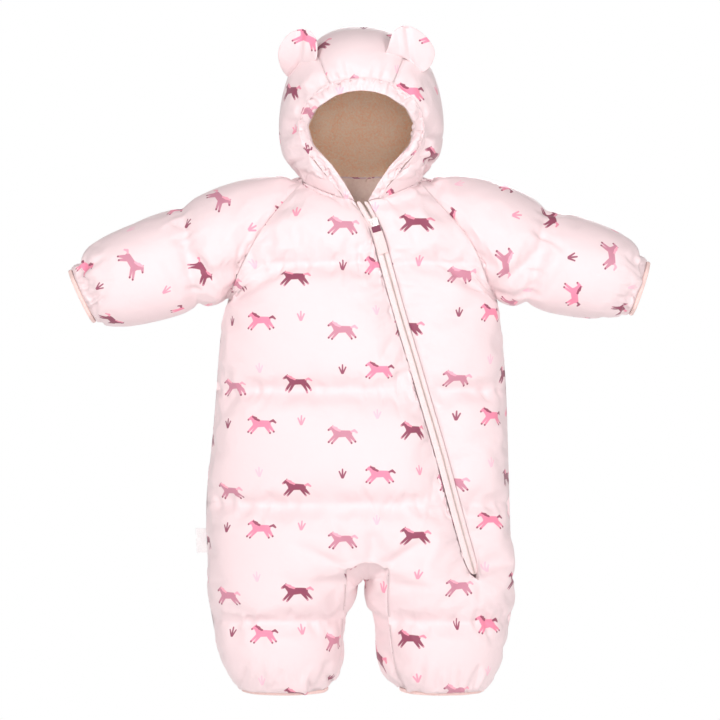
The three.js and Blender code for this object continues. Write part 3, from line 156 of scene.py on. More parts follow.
round_sweep()
for lamp_row in LAMPS:
    soft_lamp(lamp_row)
world = bpy.data.worlds.new("studio")
world.use_nodes = True
world.node_tree.nodes["Background"].inputs["Color"].default_value = (1, 1, 1, 1)
world.node_tree.nodes["Background"].inputs["Strength"].default_value = ROOM_LIGHT
bpy.context.scene.world = world
bpy.context.scene.view_settings.view_transform = "Standard"
camera_data = bpy.data.cameras.new("camera")
camera_data.sensor_width = SENSOR * 1000
camera_data.lens = SENSOR * 1000 * CAMERA_DISTANCE / VIEW_WIDTH
camera = bpy.data.objects.new("camera", camera_data)
camera.location = (0, -CAMERA_DISTANCE, VIEW_HEIGHT)
camera.rotation_euler = (math.pi / 2, 0, 0)
bpy.context.collection.objects.link(camera)
bpy.context.scene.camera = camera

# Printed shell cloth
# Thin, smooth, tightly woven polyester with a soft sheen, printed with small running ponies
# and leaf sprigs in three colourways, in a repeat that drops from one column to the next.

PRINT_COLUMN = 130
PRINT_DROP = 54
PRINT_ROW = 117.5
PONIES = [
    {"name": "dark", "x": -71, "y": -105,
     "coat": (150, 72, 96), "mane": (240, 150, 172), "hoof": (206, 138, 156)},
    {"name": "mauve", "x": -20, "y": -46,
     "coat": (208, 138, 158), "mane": (249, 172, 190), "hoof": (150, 72, 96)},
    {"name": "pink", "x": -109, "y": -153,
     "coat": (246, 142, 170), "mane": (156, 76, 100), "hoof": (156, 76, 100)},
]
SPRIGS = [
    {"name": "dark", "x": -19.5, "y": -87.5, "leaf": (156, 80, 104)},
    {"name": "pink", "x": -64.5, "y": -147, "leaf": (246, 158, 180)},
    {"name": "pale", "x": -111.5, "y": -86, "leaf": (250, 200, 214)},
]
# Parts of the pony, in millimetres from its middle: ends and radii of rounded strokes
PONY_COAT = [
    {"part": "barrel", "x": -5.6, "y": 2.0, "r": 3.9, "to_x": 7.6, "to_y": 2.2, "to_r": 3.4},
    {"part": "neck", "x": -6.8, "y": 3.2, "r": 2.8, "to_x": -10.6, "to_y": 8.2, "to_r": 1.9},
    {"part": "head", "x": -11, "y": 8.4, "r": 1.9, "to_x": -14.2, "to_y": 6.6, "to_r": 1.2},
    {"part": "ear", "x": -10.4, "y": 9.4, "r": 0.9, "to_x": -9.9, "to_y": 11.2, "to_r": 0.4},
    {"part": "fore leg", "x": -7.6, "y": 0, "r": 1.7, "to_x": -14, "to_y": -6.4, "to_r": 1.1},
    {"part": "near leg", "x": -4.6, "y": -0.6, "r": 1.7, "to_x": -10.4, "to_y": -7.6, "to_r": 1.1},
    {"part": "hind leg", "x": 8, "y": 1, "r": 2.4, "to_x": 14, "to_y": -5.8, "to_r": 1.1},
    {"part": "far leg", "x": 5.2, "y": 0.2, "r": 2.2, "to_x": 10, "to_y": -7.2, "to_r": 1.1},
]
PONY_MANE = [
    {"part": "forelock", "x": -9.8, "y": 9.6, "r": 1.0, "to_x": -6.2, "to_y": 7.8, "to_r": 1.6},
    {"part": "mane", "x": -6.8, "y": 7.4, "r": 1.3, "to_x": -2.4, "to_y": 5.6, "to_r": 1.2},
    {"part": "dock", "x": 10.2, "y": 4.4, "r": 1.0, "to_x": 13.4, "to_y": 5.6, "to_r": 1.5},
    {"part": "tail", "x": 13.4, "y": 5.6, "r": 1.5, "to_x": 16.2, "to_y": 3.4, "to_r": 1.0},
]
PONY_HOOVES = [
    {"part": "snout", "x": -14.7, "y": 6.2, "r": 1.0},
    {"part": "fore hoof", "x": -14.5, "y": -7.0, "r": 1.1},
    {"part": "near hoof", "x": -10.9, "y": -8.3, "r": 1.1},
    {"part": "hind hoof", "x": 14.5, "y": -6.5, "r": 1.1},
    {"part": "far hoof", "x": 10.4, "y": -8, "r": 1.1},
]
SPRIG_LEAVES = [
    {"part": "tip leaf", "x": 0, "y": -4.2, "r": 1.1, "to_x": 0, "to_y": 5.0, "to_r": 0.8},
    {"part": "side leaf", "x": 0.5, "y": -4.2, "r": 1.1, "to_x": 3.6, "to_y": 2.4, "to_r": 0.8},
]


class Graph:
    """Adds shader nodes to a tree; each value is a number, a tuple or another node's socket."""

    def __init__(self, tree):
        self.tree = tree

    def put(self, socket, value):
        if isinstance(value, bpy.types.NodeSocket):
            self.tree.links.new(value, socket)
        elif value is not None:
            socket.default_value = value

    def math(self, operation, first, second=None, third=None, clamp=False):
        node = self.tree.nodes.new("ShaderNodeMath")
        node.operation = operation
        node.use_clamp = clamp
        for socket, value in zip(node.inputs, (first, second, third)):
            self.put(socket, value)
        return node.outputs[0]

    def vector(self, operation, first, second=None, scale=None):
        node = self.tree.nodes.new("ShaderNodeVectorMath")
        node.operation = operation
        self.put(node.inputs[0], first)
        self.put(node.inputs[1], second)
        if scale is not None:
            self.put(node.inputs["Scale"], scale)
        return node.outputs["Value" if operation in ("LENGTH", "DOT_PRODUCT", "DISTANCE") else "Vector"]

    def join(self, x, y, z=0.0):
        node = self.tree.nodes.new("ShaderNodeCombineXYZ")
        for socket, value in zip(node.inputs, (x, y, z)):
            self.put(socket, value)
        return node.outputs[0]

    def split(self, value):
        node = self.tree.nodes.new("ShaderNodeSeparateXYZ")
        self.put(node.inputs[0], value)
        return node.outputs

    def mix(self, factor, first, second, kind="RGBA"):
        node = self.tree.nodes.new("ShaderNodeMix")
        node.data_type = kind
        self.put(node.inputs["Factor"] if kind == "FLOAT" else node.inputs[0], factor)
        spot = {"FLOAT": 2, "VECTOR": 4, "RGBA": 6}[kind]
        self.put(node.inputs[spot], first)
        self.put(node.inputs[spot + 1], second)
        return node.outputs[{"FLOAT": 0, "VECTOR": 1, "RGBA": 2}[kind]]

    def remap(self, value, low, high, to_low=0.0, to_high=1.0):
        node = self.tree.nodes.new("ShaderNodeMapRange")
        for socket, item in zip(node.inputs, (value, low, high, to_low, to_high)):
            self.put(socket, item)
        return node.outputs[0]

    def noise(self, place, scale, detail=2.0):
        node = self.tree.nodes.new("ShaderNodeTexNoise")
        self.put(node.inputs["Vector"], place)
        node.inputs["Scale"].default_value = scale
        node.inputs["Detail"].default_value = detail
        return node.outputs["Fac"]

    def bump(self, height, distance, strength=1.0, normal=None):
        node = self.tree.nodes.new("ShaderNodeBump")
        self.put(node.inputs["Height"], height)
        node.inputs["Distance"].default_value = distance
        node.inputs["Strength"].default_value = strength
        self.put(node.inputs["Normal"], normal)
        return node.outputs[0]

    def here(self):
        return self.tree.nodes.new("ShaderNodeTexCoord").outputs["Object"]

    def stroke(self, place, row):
        """Distance outside a rounded stroke that tapers from one end to the other."""
        start = (row["x"], row["y"], 0)
        reach = (row["to_x"] - row["x"], row["to_y"] - row["y"], 0)
        from_start = self.vector("SUBTRACT", place, start)
        length_squared = reach[0] ** 2 + reach[1] ** 2
        part = self.math("DIVIDE", self.vector("DOT_PRODUCT", from_start, reach), length_squared, clamp=True)
        foot = self.vector("SCALE", reach, scale=part)
        off = self.vector("LENGTH", self.vector("SUBTRACT", from_start, foot))
        radius = self.math("MULTIPLY_ADD", part, row["to_r"] - row["r"], row["r"])
        return self.math("SUBTRACT", off, radius)

    def dot(self, place, row):
        off = self.vector("DISTANCE", place, (row["x"], row["y"], 0))
        return self.math("SUBTRACT", off, row["r"])

    def union(self, distances):
        total = distances[0]
        for distance in distances[1:]:
            total = self.math("MINIMUM", total, distance)
        return self.remap(total, 0.3, -0.3)

    def repeated(self, place, motif):
        """Place measured from the nearest copy of a motif in the dropped repeat."""
        x, y, _ = self.split(self.vector("SUBTRACT", place, (motif["x"], motif["y"], 0)))
        column = self.math("ROUND", self.math("DIVIDE", x, PRINT_COLUMN))
        x = self.math("MULTIPLY_ADD", column, -PRINT_COLUMN, x)
        y = self.math("MULTIPLY_ADD", column, PRINT_DROP, y)
        row = self.math("ROUND", self.math("DIVIDE", y, PRINT_ROW))
        y = self.math("MULTIPLY_ADD", row, -PRINT_ROW, y)
        return self.join(x, y)

    def nearest(self, place, motifs, colours):
        """Place and colours of whichever motif is nearest."""
        best = self.repeated(place, motifs[0])
        distance = self.vector("LENGTH", best)
        chosen = [colour(*motifs[0][name]) for name in colours]
        for motif in motifs[1:]:
            other = self.repeated(place, motif)
            other_distance = self.vector("LENGTH", other)
            nearer = self.math("LESS_THAN", other_distance, distance)
            best = self.mix(nearer, best, other, "VECTOR")
            distance = self.math("MINIMUM", distance, other_distance)
            chosen = [self.mix(nearer, old, colour(*motif[name])) for old, name in zip(chosen, colours)]
        return best, chosen


def printed(graph, cloth_map, ground):
    """Colour of the print over the ground colour, from the cloth's own flat map in metres."""
    node = graph.tree.nodes.new("ShaderNodeUVMap")
    node.uv_map = cloth_map
    place = graph.vector("SCALE", node.outputs[0], scale=1000.0)
    pony, (coat, mane, hoof) = graph.nearest(place, PONIES, ["coat", "mane", "hoof"])
    in_coat = graph.union([graph.stroke(pony, row) for row in PONY_COAT])
    in_mane = graph.union([graph.stroke(pony, row) for row in PONY_MANE])
    in_hoof = graph.union([graph.dot(pony, row) for row in PONY_HOOVES])
    sprig, (leaf,) = graph.nearest(place, SPRIGS, ["leaf"])
    x, y, _ = graph.split(sprig)
    half = graph.join(graph.math("ABSOLUTE", x), y)
    in_leaf = graph.union([graph.stroke(half, row) for row in SPRIG_LEAVES])
    shade = graph.mix(in_leaf, ground, leaf)
    shade = graph.mix(in_coat, shade, coat)
    shade = graph.mix(in_hoof, shade, hoof)
    return graph.mix(in_mane, shade, mane)


def new_material(name, base, roughness, sheen=0.0):
    material = bpy.data.materials.new(name)
    material.use_nodes = True
    shader = material.node_tree.nodes["Principled BSDF"]
    shader.inputs["Base Color"].default_value = base
    shader.inputs["Roughness"].default_value = roughness
    shader.inputs["Sheen Weight"].default_value = sheen
    shader.inputs["Specular IOR Level"].default_value = 0.35
    return material, Graph(material.node_tree), shader


def shell_cloth():
    ground = colour(243, 219, 221)
    material, graph, shader = new_material("shell_cloth", ground, 0.5, 0.22)
    graph.put(shader.inputs["Base Color"], printed(graph, "cloth", ground))
    here = graph.here()
    soft = graph.bump(graph.noise(here, 90.0, 3.0), 0.0011, 0.6)
    weave = graph.bump(graph.noise(here, 1400.0), 0.00012, 0.6, soft)
    graph.put(shader.inputs["Normal"], weave)
    return material


shell = shell_cloth()

# Padded panels
# Each panel is shell cloth, wadding and lining sewn together along its edges and along the
# quilt lines. The wadding swells the shell between them and the sewing gathers it in puckers.

BODY_QUILT_LINES = [-85, -229, -359, -492]
QUILT_PIN = 2.2
SIM_FRAMES = 20
SWELL_LIMIT = 9.0
SWELL_PRESSURE = 7.0
CLOTH_EXTRA = 0.05
RIM_ANGLE = math.radians(52)
SPINES = {
    "body": [
        (-88, 0, -575), (-62, 0, -430), (0, 0, -370), (0, 0, -50),
        (0, 0, -370), (66, 0, -430), (92, 0, -575),
    ],
    "sleeve_right": [(-110, 0, -62), (-317, 0, -121)],
    "sleeve_left": [(116, 0, -62), (319, 0, -112)],
    "hood": [(1.5, 8, 60), (1.5, 4, 110)],
}


def nearest_on(spine, points):
    """Nearest point of a bent line to each point."""
    best = np.full(len(points), 1e9)
    result = np.zeros_like(points)
    for start, end in zip(spine[:-1], spine[1:]):
        start = np.array(start, dtype=float) * MM
        reach = np.array(end, dtype=float) * MM - start
        part = np.clip((points - start) @ reach / max(reach @ reach, 1e-12), 0, 1)
        spot = start + part[:, None] * reach
        distance = np.linalg.norm(points - spot, axis=1)
        nearer = distance < best
        best[nearer] = distance[nearer]
        result[nearer] = spot[nearer]
    return result


def coordinates(mesh):
    flat = np.empty(len(mesh.vertices) * 3)
    mesh.vertices.foreach_get("co", flat)
    return flat.reshape(-1, 3)


def set_coordinates(mesh, points):
    mesh.vertices.foreach_set("co", points.ravel())
    mesh.update()


def corners_of(mesh):
    """Number of the point at each face corner."""
    corner = np.empty(len(mesh.loops), dtype=np.int32)
    mesh.loops.foreach_get("vertex_index", corner)
    return corner


def set_map(mesh, flat):
    """Gives each face corner the flat place of its point."""
    mesh.uv_layers["cloth"].data.foreach_set("uv", flat[corners_of(mesh)].ravel())


def normals_of(mesh):
    flat = np.empty(len(mesh.vertices) * 3)
    mesh.vertex_normals.foreach_get("vector", flat)
    return flat.reshape(-1, 3)


def apply_modifiers(obj):
    select_only(obj)
    for modifier in list(obj.modifiers):
        bpy.ops.object.modifier_apply(modifier=modifier.name)


def subdivide(obj, levels):
    modifier = obj.modifiers.new("smooth", "SUBSURF")
    modifier.levels = levels
    modifier.render_levels = levels
    modifier.boundary_smooth = "PRESERVE_CORNERS"
    apply_modifiers(obj)


def smooth_shaded(obj):
    select_only(obj)
    bpy.ops.object.shade_smooth_by_angle(angle=math.radians(60))


def copy_of(node, name):
    """A copy of a CAD node with its triangles joined into four-sided faces."""
    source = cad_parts[node]
    mesh = source.data.copy()
    mesh.name = name
    mesh.materials.clear()
    obj = bpy.data.objects.new(name, mesh)
    bpy.context.collection.objects.link(obj)
    select_only(obj)
    bpy.ops.object.mode_set(mode="EDIT")
    bpy.ops.mesh.select_all(action="SELECT")
    bpy.ops.mesh.remove_doubles(threshold=0.00002)
    bpy.ops.mesh.tris_convert_to_quads(face_threshold=math.radians(50), shape_threshold=math.radians(70))
    bpy.ops.object.mode_set(mode="OBJECT")
    for old_map in [layer.name for layer in mesh.uv_layers]:
        mesh.uv_layers.remove(mesh.uv_layers[old_map])
    mesh.uv_layers.new(name="cloth")
    return obj


def mark_skins(obj, spine):
    """Marks the outer and inner skins of a wall and creases the edges of its rims."""
    built = bmesh.new()
    built.from_mesh(obj.data)
    built.faces.ensure_lookup_table()
    crease = built.edges.layers.float.new("crease_edge")
    outer = built.faces.layers.int.new("outer")
    inner = built.faces.layers.int.new("inner")
    patch_of = {}
    patches = []
    for edge in built.edges:
        if len(edge.link_faces) == 2 and edge.calc_face_angle(0) > RIM_ANGLE:
            edge[crease] = 1.0
    for face in built.faces:
        if face.index in patch_of:
            continue
        patch = [face]
        patch_of[face.index] = len(patches)
        for current in patch:
            for edge in current.edges:
                if edge[crease] > 0:
                    continue
                for other in edge.link_faces:
                    if other.index not in patch_of:
                        patch_of[other.index] = len(patches)
                        patch.append(other)
        patches.append(patch)
    scores = []
    for patch in patches:
        middles = np.array([face.calc_center_median()[:] for face in patch])
        facing = np.array([face.normal[:] for face in patch])
        areas = np.array([face.calc_area() for face in patch])
        away = middles - nearest_on(spine, middles)
        scores.append(float(np.sum(areas * np.sum(facing * away, axis=1))))
    for face in patches[int(np.argmax(scores))]:
        face[outer] = 1
    for face in patches[int(np.argmin(scores))]:
        face[inner] = 1
    built.to_mesh(obj.data)
    built.free()
    obj.data.update()


def skin_faces(mesh, name):
    flags = np.empty(len(mesh.polygons), dtype=np.int32)
    mesh.attributes[name].data.foreach_get("value", flags)
    return flags == 1


def flat_map(obj, across, up, shift):
    """Lays the outer skin out flat and turns the map to lie along the two directions given."""
    mesh = obj.data
    skin = skin_faces(mesh, "outer")
    select_only(obj)
    bpy.ops.object.mode_set(mode="EDIT")
    bpy.ops.mesh.select_mode(type="FACE")
    bpy.ops.mesh.select_all(action="DESELECT")
    bpy.ops.object.mode_set(mode="OBJECT")
    mesh.polygons.foreach_set("select", skin)
    bpy.ops.object.mode_set(mode="EDIT")
    bpy.ops.uv.unwrap(method="ANGLE_BASED", margin=0.001)
    bpy.ops.object.mode_set(mode="OBJECT")
    mesh = obj.data
    loops = len(mesh.loops)
    flat = np.empty(loops * 2)
    mesh.uv_layers["cloth"].data.foreach_get("uv", flat)
    flat = flat.reshape(-1, 2)
    corner = corners_of(mesh)
    points = coordinates(mesh)
    target = np.column_stack([points[corner] @ np.array(across), points[corner] @ np.array(up)])
    look = np.cross(np.array(across), np.array(up))
    weight = np.zeros(loops)
    for face, is_skin in zip(mesh.polygons, skin):
        if is_skin:
            facing = max(0.0, float(np.array(face.normal[:]) @ look))
            weight[face.loop_start : face.loop_start + face.loop_total] = facing**4 * face.area
    best = None
    for flip in (1, -1):
        trial = flat * np.array([flip, 1.0])
        trial_mean = np.average(trial, axis=0, weights=weight)
        target_mean = np.average(target, axis=0, weights=weight)
        a = (trial - trial_mean) * weight[:, None]
        b = target - target_mean
        matrix = a.T @ b
        turn = math.atan2(matrix[0, 1] - matrix[1, 0], matrix[0, 0] + matrix[1, 1])
        rotation = np.array([[math.cos(turn), math.sin(turn)], [-math.sin(turn), math.cos(turn)]])
        turned = (trial - trial_mean) @ rotation
        scale = np.sum(weight[:, None] * turned * b) / np.sum(weight[:, None] * turned * turned)
        placed = turned * scale + target_mean
        error = np.sum(weight[:, None] * (placed - target) ** 2)
        if best is None or error < best[0]:
            best = (error, placed)
    mesh.uv_layers["cloth"].data.foreach_set("uv", (best[1] + np.array(shift) * MM).ravel())


def tube_map(obj, spine, radius, turn):
    """Map of a sleeve: length along the arm and the way round it, turned as the cloth was cut."""
    mesh = obj.data
    start = np.array(spine[0], dtype=float) * MM
    reach = np.array(spine[1], dtype=float) * MM - start
    length = np.linalg.norm(reach)
    reach = reach / length
    side = np.cross(reach, np.array([0.0, 1.0, 0.0]))
    points = coordinates(mesh) - start
    along = points @ reach
    angle = np.arctan2(points[:, 1] * 1.25, points @ side * np.sign(side[2]))
    layer = mesh.uv_layers["cloth"]
    for face in mesh.polygons:
        corners = [mesh.loops[i].vertex_index for i in face.loop_indices]
        angles = [angle[i] for i in corners]
        if max(angles) - min(angles) > math.pi:
            angles = [a + 2 * math.pi if a < 0 else a for a in angles]
        for loop, corner, a in zip(face.loop_indices, corners, angles):
            round_way = a * radius
            layer.data[loop].uv = (
                along[corner] * math.cos(turn) + round_way * math.sin(turn),
                -along[corner] * math.sin(turn) + round_way * math.cos(turn),
            )


def quarter_arc(angle, width, depth):
    """Length along an oval from its front to the angle given."""
    total = np.zeros_like(angle)
    step = angle / 24
    for i in range(24):
        middle = step * (i + 0.5)
        total += np.sqrt((width * np.cos(middle)) ** 2 + (depth * np.sin(middle)) ** 2) * step
    return total


def round_tube(points, low_x, high_x, depth):
    """Sideways place of each point on cloth laid flat from the front of an oval tube."""
    middle = (low_x + high_x) / 2
    width = (high_x - low_x) / 2
    angle = np.arctan2(np.abs(points[:, 0] - middle) / width, np.abs(points[:, 1]) / depth)
    return middle + np.sign(points[:, 0] - middle) * quarter_arc(angle, width, depth)


def span_by_height(points, chosen):
    """Lowest and highest x and greatest depth of the chosen points, by height."""
    levels = np.arange(-0.58, 0.03, 0.01)
    found = []
    for level in levels:
        near = chosen & (np.abs(points[:, 2] - level) < 0.012)
        if near.any():
            group = points[near]
            found.append((level, group[:, 0].min(), group[:, 0].max(), np.abs(group[:, 1]).max()))
    found = np.array(found)
    return [np.interp(points[:, 2], found[:, 0], found[:, column]) for column in (1, 2, 3)]


LEGS_BEGIN = -0.40
LEGS_PARTED = -0.47
CROTCH_X = 0.008


def body_map(obj, mirrored):
    """Map of the front or the back: round the body and each leg, with the grain upright."""
    mesh = obj.data
    points = coordinates(mesh)
    body = points.copy()
    everything = np.ones(len(points), dtype=bool)
    low, high, depth = span_by_height(points, everything)
    on_body = round_tube(body, low, high, depth)
    on_leg = np.zeros(len(points))
    for leg in (points[:, 0] < CROTCH_X, points[:, 0] >= CROTCH_X):
        below = leg & (points[:, 2] < LEGS_BEGIN + 0.01)
        low, high, depth = span_by_height(points, below)
        on_leg[leg] = round_tube(points, low, high, depth)[leg]
    part = np.clip((points[:, 2] - LEGS_BEGIN) / (LEGS_PARTED - LEGS_BEGIN), 0, 1)
    across = on_body + (on_leg - on_body) * part
    flat = np.column_stack([across * mirrored, points[:, 2]])
    set_map(mesh, flat)


HOOD_MIDDLE = 1.5
HOOD_ROUND = 80.0
HOOD_OVER = 98.0
HOOD_HEART = 72.0


def hood_map(obj, over, shift_x, shift_y):
    """Map of a hood piece: round the head, or over the head for the middle strip."""
    mesh = obj.data
    points = coordinates(mesh) / MM
    x, y, z = points[:, 0] - HOOD_MIDDLE, points[:, 1] - 8, points[:, 2]
    if over:
        angle = np.arctan2(z - HOOD_HEART, -y)
        angle = np.where(angle < -math.pi / 2, angle + 2 * math.pi, angle)
        flat = np.column_stack([x, angle * HOOD_OVER])
    else:
        flat = np.column_stack([np.arctan2(x, -y) * HOOD_ROUND, z])
    flat = (flat + np.array([shift_x, shift_y])) * MM
    set_map(mesh, flat)


def free_of_seams(obj, quilt_distance):
    """How free each point of the outer skin is: 0 on seams, quilt lines and the inner side, 1 between."""
    mesh = obj.data
    count = len(mesh.vertices)
    skin = skin_faces(mesh, "outer")
    touched_in = np.zeros(count, dtype=bool)
    touched_out = np.zeros(count, dtype=bool)
    for face, is_skin in zip(mesh.polygons, skin):
        for i in face.vertices:
            if is_skin:
                touched_out[i] = True
            else:
                touched_in[i] = True
    free = (touched_out & ~touched_in).astype(float)
    points = coordinates(mesh)
    held = np.clip((quilt_distance(points) - QUILT_PIN * MM) / (4 * MM), 0, 1)
    return free * held


def far_from_body_lines(points):
    distances = [np.abs(points[:, 2] - level * MM) for level in BODY_QUILT_LINES]
    return np.min(distances, axis=0)


def far_from_nothing(points):
    return np.ones(len(points))


def sleeve_line(line_x, line_low_x, high, low):
    """Distance from the quilt line across the middle of a sleeve, seen from the front."""
    start = np.array([line_x, high]) * MM
    reach = np.array([line_low_x, low]) * MM - start
    side = np.array([reach[1], -reach[0]]) / np.linalg.norm(reach)

    def distance(points):
        flat = points[:, [0, 2]] - start
        return np.abs(flat @ side)

    return distance


PANELS = [
    {"node": "front", "spine": "body", "mirrored": 1, "lines": far_from_body_lines},
    {"node": "back", "spine": "body", "mirrored": -1, "lines": far_from_body_lines},
    {"node": "leg_gusset", "spine": "body", "across": (1, 0, 0), "up": (0, 0, 1), "shift": (38, 22),
     "lines": far_from_nothing},
    {"node": "sleeve_right", "spine": "sleeve_right", "turn": 1.25,
     "lines": sleeve_line(-205, -185, -20, -134)},
    {"node": "sleeve_left", "spine": "sleeve_left", "turn": -1.25,
     "lines": sleeve_line(215, 191, -22, -132)},
    {"node": "hood_side_right", "spine": "hood", "over": False, "x": 12, "y": 22, "lines": far_from_nothing},
    {"node": "hood_side_left", "spine": "hood", "over": False, "x": -30, "y": 40, "lines": far_from_nothing},
    {"node": "hood_centre", "spine": "hood", "over": True, "x": -22, "y": 30, "lines": far_from_nothing},
    {"node": "hood_casing", "spine": "hood", "over": False, "x": 40, "y": -12, "lines": far_from_nothing},
]
SLEEVE_RADIUS = 0.055


def start_panel(row):
    obj = copy_of(row["node"], row["node"] + "_padded")
    spine = SPINES[row["spine"]]
    mark_skins(obj, spine)
    if "turn" in row:
        tube_map(obj, spine, SLEEVE_RADIUS, row["turn"])
    elif "mirrored" in row:
        body_map(obj, row["mirrored"])
    elif "over" in row:
        hood_map(obj, row["over"], row["x"], row["y"])
    else:
        flat_map(obj, row["across"], row["up"], row["shift"])
    subdivide(obj, 2)
    free = free_of_seams(obj, row["lines"])
    group = obj.vertex_groups.new(name="hold")
    for index, value in enumerate(free):
        group.add([index], 1.0 - float(value), "REPLACE")
    row["object"] = obj
    row["free"] = free
    row["before"] = coordinates(obj.data)


def add_cloth(obj):
    modifier = obj.modifiers.new("cloth", "CLOTH")
    cloth = modifier.settings
    cloth.quality = 4
    cloth.mass = 0.15
    cloth.tension_stiffness = 12
    cloth.compression_stiffness = 12
    cloth.shear_stiffness = 4
    cloth.bending_stiffness = 0.2
    cloth.air_damping = 3
    cloth.vertex_group_mass = "hold"
    cloth.use_pressure = True
    cloth.uniform_pressure_force = SWELL_PRESSURE
    cloth.shrink_min = -CLOTH_EXTRA
    cloth.shrink_max = -CLOTH_EXTRA
    cloth.effector_weights.gravity = 0
    modifier.collision_settings.use_collision = False
    modifier.point_cache.frame_start = 1
    modifier.point_cache.frame_end = SIM_FRAMES


def swell_panels():
    for row in PANELS:
        add_cloth(row["object"])
    scene = bpy.context.scene
    scene.frame_start = 1
    scene.frame_end = SIM_FRAMES
    for number in range(1, SIM_FRAMES + 1):
        scene.frame_set(number)
    for row in PANELS:
        obj = row["object"]
        apply_modifiers(obj)
        after = coordinates(obj.data)
        move = after - row["before"]
        size = np.linalg.norm(move, axis=1)
        limit = SWELL_LIMIT * MM
        scale = np.where(size > 1e-9, limit * np.tanh(size / limit) / np.maximum(size, 1e-9), 0)
        scale = np.where(np.isfinite(scale), scale, 0)
        move = np.where(np.isfinite(move), move, 0)
        set_coordinates(obj.data, row["before"] + move * (scale * np.minimum(row["free"] * 3, 1))[:, None])
    scene.frame_set(1)


# Creases
# Sewing and elastic gather the cloth in short uneven troughs and ridges, at the quilt lines, the zip,
# the cuffs, the hems and the face. Each quilt line lies in a broad valley, and longer folds run in a
# fan at the crotch, under the arms and down the cheeks of the hood.

PUCKER_RUNS = [
    {"run": "chest, right", "x": -140, "z": -88, "to_x": 20, "to_z": -86, "gap": 13, "long": 17, "deep": 2.6},
    {"run": "chest, left", "x": 42, "z": -84, "to_x": 146, "to_z": -90, "gap": 12, "long": 16, "deep": 2.6},
    {"run": "belly, right", "x": -165, "z": -230, "to_x": 55, "to_z": -227,
     "gap": 14, "long": 19, "deep": 2.8},
    {"run": "belly, left", "x": 82, "z": -229, "to_x": 168, "to_z": -232, "gap": 13, "long": 16, "deep": 2.8},
    {"run": "hip, right", "x": -173, "z": -360, "to_x": 95, "to_z": -357, "gap": 14, "long": 20, "deep": 3.0},
    {"run": "hip, left", "x": 120, "z": -359, "to_x": 170, "to_z": -366, "gap": 12, "long": 15, "deep": 2.8},
    {"run": "right leg", "x": -166, "z": -492, "to_x": -24, "to_z": -494, "gap": 13, "long": 18, "deep": 2.8},
    {"run": "left leg", "x": 30, "z": -494, "to_x": 170, "to_z": -490, "gap": 13, "long": 18, "deep": 2.8},
    {"run": "right hem", "x": -140, "z": -560, "to_x": -34, "to_z": -560, "gap": 9, "long": 23, "deep": 4.0},
    {"run": "left hem", "x": 42, "z": -560, "to_x": 146, "to_z": -560, "gap": 9, "long": 23, "deep": 4.0},
    {"run": "right of zip", "x": 18, "z": -75, "to_x": 112, "to_z": -430, "gap": 15, "long": 13, "deep": 2.1},
    {"run": "left of zip", "x": 42, "z": -75, "to_x": 138, "to_z": -430, "gap": 15, "long": 12, "deep": 2.1},
    {"run": "right cuff", "x": -322, "z": -88, "to_x": -297, "to_z": -150, "gap": 8, "long": 21, "deep": 3.4},
    {"run": "left cuff", "x": 320, "z": -79, "to_x": 303, "to_z": -142, "gap": 8, "long": 21, "deep": 3.4},
    {"run": "right sleeve", "x": -205, "z": -20, "to_x": -187, "to_z": -130,
     "gap": 12, "long": 17, "deep": 2.6},
    {"run": "left sleeve", "x": 215, "z": -22, "to_x": 193, "to_z": -128, "gap": 12, "long": 17, "deep": 2.6},
]
